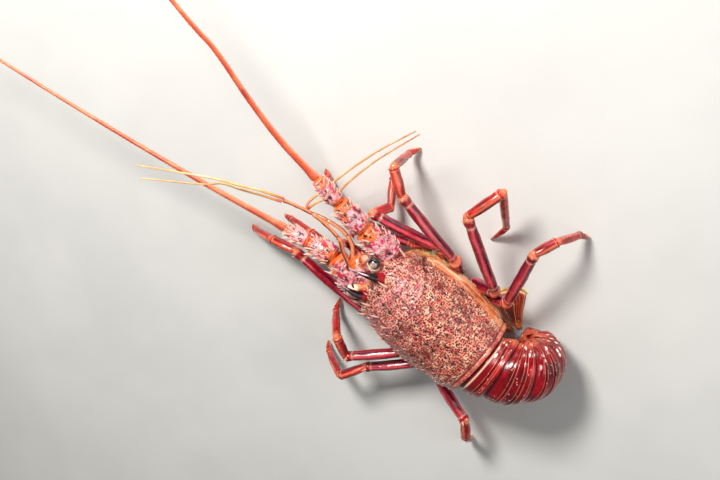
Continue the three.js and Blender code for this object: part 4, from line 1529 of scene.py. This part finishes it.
def make_head_plate():
    """The bumpy plate between the antennae that carries the feelers."""
    rows, columns = 110, 110
    path, _ = curve_through(PLATE_STATIONS, rows)
    share = np.linspace(0, 1, rows)
    grid, _ = tube_grid(path, graded(PLATE_RADII)(share), columns, 1.08)
    out = normals_of(grid)
    places = grid
    dome = domes(places, 2.8, 161, 0.6, 0.4)
    lumps = noise(places, 5.0, 171)
    grid = raised(grid, out, 0.5 * dome + 1.2 * (lumps - 0.5))
    spot = dots(places, 2.6, 181, 0.3, 0.55)
    front = smooth(share, 0.35, 0.9)[:, None]
    orange = smooth(0.5 * front + noise(places, 4.0, 176), 0.74, 0.88)
    cream = smooth(0.3 * front + noise(places, 3.0, 177), 0.66, 0.8) * (1 - orange)
    masks = {
        "pale": np.maximum(0.7 * dome, smooth(lumps, 0.5, 0.7)) * (1 - orange),
        "spot": spot,
        "orange": orange,
        "cream": cream,
        "joint": smooth(share, 0.9, 1.0)[:, None],
        "groove": smooth(0.42 - lumps, 0, 0.12),
    }
    build = Build()
    add_skin(build, grid, **masks)
    roots, ways, lengths = [], [], []
    for _ in range(PLATE_SMALL_SPINES):
        row = int(rng.uniform(0.15, 0.9) * (rows - 1))
        column = int(rng.integers(columns))
        roots.append(grid[row, column] - out[row, column] * 0.3)
        ways.append(out[row, column] + np.array([1.1, 0, 0.1]))
        lengths.append(rng.uniform(0.8, 1.8))
    for place, turn, length in PLATE_STRONG_SPINES:
        row = int(place * (rows - 1))
        column = column_at(turn, columns)
        roots.append(grid[row, column] - out[row, column] * 0.4)
        ways.append(out[row, column] + np.array([1.0, 0, 0.2]))
        lengths.append(length)
    lengths = np.array(lengths)
    radii = 0.4 + 0.17 * lengths
    add_spines(build, roots, ways, lengths, radii, bend=[0.2, 0, 0], sides=9, steps=6, pale=0.9)
    build.skin("antennule_plate", antenna_look, "antenna_shell")


ANTENNULES = {
    "L": {
        "stem": [
            (127.2, 3.9, 56.4), (128.3, 3.4, 57), (137, -4, 61), (146, -11.5, 63),
            (165.9, -15.3, 66), (177.7, -14.9, 68), (196.7, -13.4, 76),
        ],
        "inner": [
            (196.7, -15.1, 76.4), (213.9, -12.8, 86), (227.5, -8.5, 92), (240, -4.8, 97),
            (255.2, 3.4, 99), (300, 32, 101),
        ],
        "outer": [
            (196.7, -11.7, 76.2), (211.1, -7.5, 81), (226.9, -2.3, 86), (239.9, 1.7, 90),
            (253.2, 13.6, 92), (294, 44, 94),
        ],
    },
    "R": {
        "stem": [
            (127.2, -2.6, 55.8), (128.3, -3.4, 56), (135.3, -11.2, 56), (146.7, -15.4, 57),
            (162.7, -13.5, 57), (179, -7.5, 56),
        ],
        "inner": [
            (179.4, -6.2, 55.6), (177.5, -14, 48), (170, -27, 40), (167.5, -45.3, 42),
            (161, -77.4, 49), (148, -120.7, 60),
        ],
        "outer": [
            (180, -8.9, 56), (182, -14, 51.5), (178, -30.1, 40), (173, -53.5, 43),
            (163.9, -85.9, 50), (151.7, -119.3, 57),
        ],
    },
}


def make_antennule(side):
    """A feeler: its jointed stem and its two ringed ends."""
    for part, stations in ANTENNULES[side].items():
        build = Build()
        stem = part == "stem"
        rows, columns = (220, 32) if stem else (480, 10)
        path, _ = curve_through(stations, rows)
        share = np.linspace(0, 1, rows)
        if stem:
            radius = graded([(0, 1.9), (0.5, 1.55), (1, 1.3)])(share)
            knots = np.array([0.34, 0.68])
            past = np.min(np.abs(share[:, None] - knots[None, :]), axis=1)
            before = np.min(np.abs(share[:, None] - (knots - 0.035)[None, :]), axis=1)
            last = smooth(share, 0.93, 0.97) * smooth(1.0 - share, 0, 0.015)
            radius = radius * (1 + 0.28 * band(before, 0.02) - 0.35 * band(past, 0.008))
            radius = radius * (1 + 0.2 * last)
            joint = band(past, 0.014)
            grid, angle = tube_grid(path, radius, columns)
            lumps = noise(grid * [0.4, 1, 1], 1.1, 197) - 0.5
            grid = raised(grid, normals_of(grid), 0.3 * lumps)
            # Painted highlight: a pale line along the top of the stem; the pale bands before the knots added
            # below are real.
            stripe = band(np.cos(angle) - 0.9, 0.25)
            # Painted shade: darker patches along both sides of the stem.
            dark = smooth(np.abs(np.sin(angle)), 0.5, 0.8) * smooth(lumps, -0.45, -0.1)
            pale = band(before, 0.02)
            add_skin(build, grid, joint=joint[:, None], stripe=np.clip(stripe + pale[:, None], 0, 1),
                     edge=dark, stem=1.0)
        else:
            wave = np.abs(np.sin(np.pi * np.arange(rows) / 5.0)) ** 0.6
            radius = (1.15 + (0.5 - 1.15) * share) * (0.9 + 0.12 * wave)
            radius[-3:] = radius[-3:] * np.array([0.95, 0.8, 0.5])
            grid, _ = tube_grid(path, radius, columns)
            add_skin(build, grid, low=(1 - wave)[:, None], joint=0.0, stripe=0.0,
                     stem=smooth(0.1 - share, 0, 0.1)[:, None])
        build.skin(f"antennule_{side}_{part}", feeler_look, "feeler_shell")


def make_mouth_foot(side, sign):
    """A foot of the mouth, bent up under the head."""
    stations = [(92, 8, 23), (104, 10.5, 18), (116, 11.5, 18.5), (134, 10, 24), (141, 7, 32), (136, 5, 38)]
    radii = [4.6, 4.8, 4.2, 3.1, 2.4, 1.4]
    rows, columns = 220, 44
    path, _ = curve_through([(f, sign * s, u) for f, s, u in stations], rows)
    share = np.linspace(0, 1, rows)
    knots = np.array([0.22, 0.5, 0.72, 0.88])
    near = np.min(np.abs(share[:, None] - knots[None, :]), axis=1)
    radius = np.interp(share, [0, 0.19, 0.4, 0.73, 0.88, 1], radii)
    radius = radius * (1 - 0.22 * band(near, 0.012) + 0.07 * band(near - 0.035, 0.015))
    radius = radius * np.sqrt(np.clip(1.004 - smooth(share, 0.86, 1.0) ** 2, 0, 1))
    grid, angle = tube_grid(path, radius, columns)
    lumps = noise(grid, 3.0, 191) - 0.5
    grid = raised(grid, normals_of(grid), 0.5 * lumps)
    keep_above(grid, 0.3)
    build = Build()
    joint = band(near, 0.025)
    stripe = band(np.abs(np.sin(angle)) - 0.5, 0.2)
    add_skin(build, grid, joint=joint[:, None], stripe=stripe,
             spot=smooth(lumps, 0.15, 0.25), claw=smooth(share, 0.93, 1)[:, None])
    build.skin(f"mouth_foot_{side}", leg_tip_look, "leg_tip_shell")


spines = Build()
for side, sign in (("L", 1), ("R", -1)):
    make_horn(side, sign)
    make_eye(side, sign)
    for index in range(3):
        grid, out, share = make_antenna_segment(side, index)
        add_segment_spines(spines, grid, out, share, index)
    make_whip(side, "base", 0.0, WHIP_SPLIT)
    make_whip(side, "tip", WHIP_SPLIT, 1.0)
    make_antennule(side)
    make_mouth_foot(side, sign)
spines.object("antenna_spines", spine_look)
make_head_plate()


# Legs

LEGS = {
    "R1": (88, [(98, -29, 24), (144, -15, 28), (166, -14, 23), (186, -16, 6), (191, -17, 0)]),
    "R2": (72, [(77, -45, 29), (138, -33, 36), (130, -39, 19), (144, -54, 6), (149, -60, 0)]),
    "R3": (55, [(64, -47, 35), (129, -69, 52), (148, -84, 53), (146, -82, 10), (142, -86, 0)]),
    "R4": (38, [(25, -49, 35), (82, -92, 54), (74, -123, 49), (50, -87, 13), (51, -66, 0)]),
    "R5": (21, [(12, -48, 34), (26, -102, 50), (19, -117, 41), (5, -122, 12), (-3, -120, 0)]),
    "L1": (88, [(98, 30, 24), (146, 22, 27), (168, 26, 22), (190, 38, 6), (195, 42, 0)]),
    "L2": (72, [(86, 45, 31), (168, 42, 34), (189, 51, 29), (208, 68, 8), (212, 71, 0)]),
    "L3": (55, [(43, 48, 35), (78, 84, 44), (95, 70, 51), (109, 77, 10), (112, 72, 0)]),
    "L4": (38, [(26, 49, 29), (59, 86, 35), (70, 108, 38), (90, 116, 9), (95, 115, 0)]),
    "L5": (21, [(12, 47, 33), (-32, 58, 42), (-44, 74, 36), (-54, 92, 9), (-57, 94, 0)]),
}
# Share of the length, angle and spine length
KNEE_SPINES = [(0.955, 0.0, 4.2), (0.95, 0.9, 2.4), (0.95, -0.9, 2.4)]
HIP_INNER = 19.0
HIP_OUTER = 35.0
HIP_LEVEL = 19.0
LENGTH_COLUMNS = 46
LENGTH_FLATNESS = 0.9


def add_length(build, a, b, radii, rows=100, bow=0.02, overlap=0.6, seed=1, ends=0.08):
    """One rigid length of a limb: rounded ends, a flared far end, faint ridges and scattered pits."""
    a, b = np.array(a, float), np.array(b, float)
    way = unit(b - a)
    a, b = a - way * overlap * radii[0], b + way * overlap * radii[-1] * 0.6
    share = close_rows(rows)
    path = a + (b - a) * share[:, None]
    path[:, 2] = path[:, 2] + bow * np.linalg.norm(b - a) * np.sin(np.pi * share)
    radius = graded([(0, radii[0]), (0.5, radii[1]), (0.88, radii[2]), (1, radii[2] * 1.04)])(share)
    radius = radius * round_ends(share, ends, 0.3)
    grid, angle = tube_grid(path, radius, LENGTH_COLUMNS, 1 / LENGTH_FLATNESS)
    out = normals_of(grid)
    places = grid
    along = share[:, None]
    mid = smooth(0.5 - np.abs(along - 0.5), 0.06, 0.16)
    collar = band(along - 0.925, 0.022)
    furrow = band(along - 0.87, 0.014) + 0.7 * band(along - 0.09, 0.014)
    ridges = np.cos(4 * angle) * mid
    pit = dots(places, 2.2, 201 + seed, 0.27, 0.5, soft=0.1) * mid
    lumps = noise(places, 5.0, 211 + seed) - 0.5
    size = radii[1] / 4.4
    relief = 0.22 * collar - 0.34 * furrow + 0.13 * ridges - 0.12 * pit + 0.5 * lumps
    grid = raised(grid, out, size * relief)
    keep_above(grid, 0.0)
    long = np.linalg.norm(b - a)
    rolled = stacked(along * long * 0.11, np.cos(angle) * radii[1], np.sin(angle) * radii[1])
    streak = noise(rolled, 1.5, 221 + seed)
    pinch = 0.12 * (noise(rolled * [3, 0, 0], 1.0, 7 + seed) - 0.5)
    turn = (angle + pinch + np.pi) % (2 * np.pi) - np.pi
    # Pale lines along the leg: real stripes, the one near the top also a painted highlight.
    top_line = band(turn - 0.25, 0.30) + 0.8 * band(turn + 1.45, 0.2)
    dark_side = band(np.abs(turn + 0.1) - 0.95, 0.34)
    stripe = top_line * smooth(streak, 0.15, 0.5) + 0.35 * smooth(streak, 0.62, 0.8)
    masks = {
        "stripe": np.clip(stripe, 0, 1) * mid,
        "orange": smooth(np.abs(turn), 1.7, 2.3) * smooth(streak, 0.3, 0.6) * mid,
        "deep": np.clip(dark_side, 0, 1) * mid * smooth(streak, 0.1, 0.4),
        "spot": pit * 0.9,
        "joint": smooth(np.abs(along - 0.5), 0.43, 0.47),
        "socket": np.clip(furrow, 0, 1) * 0.5,
        "claw": 0.0,
    }
    add_skin(build, grid, **masks)
    return grid, out, share


def add_knuckle(build, centre, radius):
    """The soft rounded joint between two lengths."""
    grid = ball(centre, (radius, radius, radius), 18, 24)[0]
    lumps = noise(grid, 1.2, 231) - 0.5
    grid = grid + 0.25 * lumps[..., None]
    keep_above(grid, 0.2)
    add_skin(build, grid, stripe=0.0, orange=0.6, spot=0.0, joint=0.7, socket=0.25, claw=0.0)


def length_spine(build, found, place, turn, length):
    """One spine on a limb length, leaning along it."""
    grid, out, share = found
    columns = grid.shape[1]
    row = row_at(share, place)
    column = column_at(turn, columns)
    along = unit(grid[-15].mean(axis=0) - grid[15].mean(axis=0))
    add_spines(build, [grid[row, column] - out[row, column] * 0.4], [out[row, column] + along * 0.9], length,
               0.3 + 0.2 * length, bend=along * 0.2, sides=9, steps=6, joint=0.6, socket=0.5)


def make_leg(name):
    """One leg as two pieces. Returns the places of its last joints and of its toe."""
    hip, points = LEGS[name]
    sign = 1 if name[0] == "L" else -1
    thigh, knee, wrist, ankle, toe = (np.array(p, float) for p in points)
    socket = np.array([hip, sign * HIP_INNER, HIP_LEVEL], float)
    collar = np.array([hip, sign * HIP_OUTER, HIP_LEVEL], float)
    seed = sum(ord(c) for c in name)

    upper = Build()
    add_length(upper, socket, collar, (6.2, 6.9, 5.8), rows=60, seed=seed, bow=0.0)
    add_knuckle(upper, collar, 5.2)
    add_length(upper, collar, thigh, (5.4, 5.2, 4.9), rows=60, seed=seed + 1, bow=0.0)
    add_knuckle(upper, thigh, 4.0)
    merus = add_length(upper, thigh, knee, (3.9, 4.45, 4.1), rows=150, seed=seed + 2, overlap=0.3, ends=0.04)
    for place, turn, length in KNEE_SPINES:
        length_spine(upper, merus, place, turn, length)
    upper.skin(f"leg_{name}_upper", leg_look, "leg_shell")

    lower = Build()
    add_knuckle(lower, knee, 3.5)
    add_length(lower, knee, wrist, (3.4, 4.2, 4.0), rows=80, seed=seed + 3, overlap=0.3)
    add_knuckle(lower, wrist, 3.0)
    add_length(lower, wrist, ankle, (3.1, 3.35, 2.8), rows=120, seed=seed + 4, overlap=0.3, ends=0.05)
    add_knuckle(lower, ankle, 2.1)
    foot = toe + np.array([0, 0, 0.6])
    rows, columns = 70, 32
    share = close_rows(rows)
    path = ankle + (foot - ankle) * share[:, None]
    sag = np.cross(unit(foot - ankle), [0, 0, 1.0])
    path = path + np.cross(sag, unit(foot - ankle)) * (0.9 * np.sin(np.pi * share))[:, None]
    radius = graded([(0, 2.3), (0.2, 2.4), (0.6, 1.8), (1, 1.2)])(share)
    grid, _ = tube_grid(path, radius, columns)
    keep_above(grid, 0.0)
    add_skin(lower, grid, stripe=0.0, spot=0.0, joint=smooth(0.1 - share, 0, 0.08)[:, None],
             claw=smooth(share, 0.72, 0.95)[:, None])
    lower.skin(f"leg_{name}_lower", leg_tip_look, "leg_tip_shell")
    return wrist, ankle, foot


def make_toe_bristles(ends):
    """Combs of stiff bristles along each toe and the last third of the length above it."""
    build = Build()
    for number, (wrist, ankle, foot) in enumerate(ends):
        for row, (start, end, first, last, count, radius) in enumerate((
            (wrist, ankle, 0.55, 0.98, 90, 2.8), (ankle, foot, 0.05, 0.85, 110, 1.9)
        )):
            way = unit(end - start)
            helper = unit(np.cross(way, [0.31, 0.22, 0.92]))
            over = np.cross(way, helper)
            place = rng.uniform(first, last, count)
            turn = rng.integers(0, 6, count) * np.pi / 3 + rng.normal(0, 0.12, count)
            out = helper * np.cos(turn)[:, None] + over * np.sin(turn)[:, None]
            roots = start + (end - start) * place[:, None] + out * radius * (1 - 0.35 * place)[:, None] * 0.8
            lengths = rng.uniform(1.3, 2.3, count)
            ways = unit(out + way * 0.9)
            low = roots[:, 2] + ways[:, 2] * lengths
            keep = (roots[:, 2] > 0.8) & (low > 0.3)
            patches = np.stack([(number + 0.1 + 0.8 * place) / 10, (row + 0.1 + 0.8 * turn / 7) / 2], axis=1)
            add_spines(build, roots[keep], ways[keep], lengths[keep], 0.2, sides=4, steps=2,
                       patches=patches[keep])
    build.object("toe_bristles", bristle_look)


make_toe_bristles([make_leg(name) for name in LEGS])


# Floor, light and camera

FLOOR_HALF = 3.0
corners = [(x * FLOOR_HALF, y * FLOOR_HALF, 0) for x, y in ((-1, -1), (1, -1), (1, 1), (-1, 1))]
floor_mesh = bpy.data.meshes.new("floor")
floor_mesh.from_pydata(corners, [], [(0, 1, 2, 3)])
floor_look = Look("floor_look")
floor_look.colour = rgb(214, 214, 210)
floor_look.layer(rgb(206, 206, 203), floor_look.span(floor_look.noise(6.0), 0.3, 0.7))
floor_mesh.materials.append(floor_look.close(floor_look.span(floor_look.noise(30.0), 0.3, 0.7, 0.6, 0.7)))
floor = bpy.data.objects.new("floor", floor_mesh)
bpy.context.scene.collection.objects.link(floor)


def turned(v):
    """Forward, left, up direction as an x, y, z direction."""
    return Vector((v[1], -v[0], v[2]))


VIEW_TILT = math.radians(30)
VIEW_ROLL = math.radians(40)
VIEW_DISTANCE = 750.0
LENS = 47.7
SENSOR_WIDTH = 36.0
AIM = np.array([132.0, -15.6, 51.0])
back_way = np.array([0, -math.sin(VIEW_TILT), math.cos(VIEW_TILT)])
cross_way = np.array([0, -math.cos(VIEW_TILT), -math.sin(VIEW_TILT)])
fore_way = np.array([1.0, 0, 0])
image_right = -math.cos(VIEW_ROLL) * fore_way + math.sin(VIEW_ROLL) * cross_way
image_up = math.sin(VIEW_ROLL) * fore_way + math.cos(VIEW_ROLL) * cross_way


def facing(place, right, up, back):
    """The matrix of a camera at a place that looks against the direction back."""
    matrix = Matrix((turned(right), turned(up), turned(back))).transposed().to_4x4()
    matrix.translation = Vector(world(place))
    return matrix


camera_data = bpy.data.cameras.new("camera")
camera_data.lens = LENS
camera_data.sensor_width = SENSOR_WIDTH
camera_data.clip_start = 0.01
camera = bpy.data.objects.new("camera", camera_data)
camera.matrix_world = facing(AIM + VIEW_DISTANCE * back_way, image_right, image_up, back_way)
bpy.context.scene.collection.objects.link(camera)
bpy.context.scene.camera = camera


def add_light(name, offset, size, power, colour):
    """A soft square light, its offset from the animal in image right, image up and back, in millimetres."""
    data = bpy.data.lights.new(name, "AREA")
    data.energy = power
    data.size = size
    data.color = colour
    place = AIM + image_right * offset[0] + image_up * offset[1] + back_way * offset[2]
    light = bpy.data.objects.new(name, data)
    light.location = Vector(world(place))
    way = Vector(world(AIM)) - light.location
    light.rotation_euler = way.to_track_quat("-Z", "Y").to_euler()
    bpy.context.scene.collection.objects.link(light)


# Name, offset, size in metres, power in watts and colour
LIGHTS = [
    ("key", (-450, 450, 900), 0.26, 19.0, (1.0, 0.97, 0.93)),
    ("fill", (800, -200, 800), 0.8, 5.0, (1.0, 0.97, 0.94)),
    ("back", (200, 900, 300), 0.6, 6.0, (1.0, 0.98, 0.96)),
]
for light in LIGHTS:
    add_light(*light)

SURROUND_COLOUR = (0.85, 0.88, 0.92, 1)
SURROUND_STRENGTH = 0.2
world_data = bpy.data.worlds.new("studio")
world_data.use_nodes = True
world_data.node_tree.nodes["Background"].inputs["Color"].default_value = SURROUND_COLOUR
world_data.node_tree.nodes["Background"].inputs["Strength"].default_value = SURROUND_STRENGTH
bpy.context.scene.world = world_data
bpy.context.scene.view_settings.view_transform = "Standard"
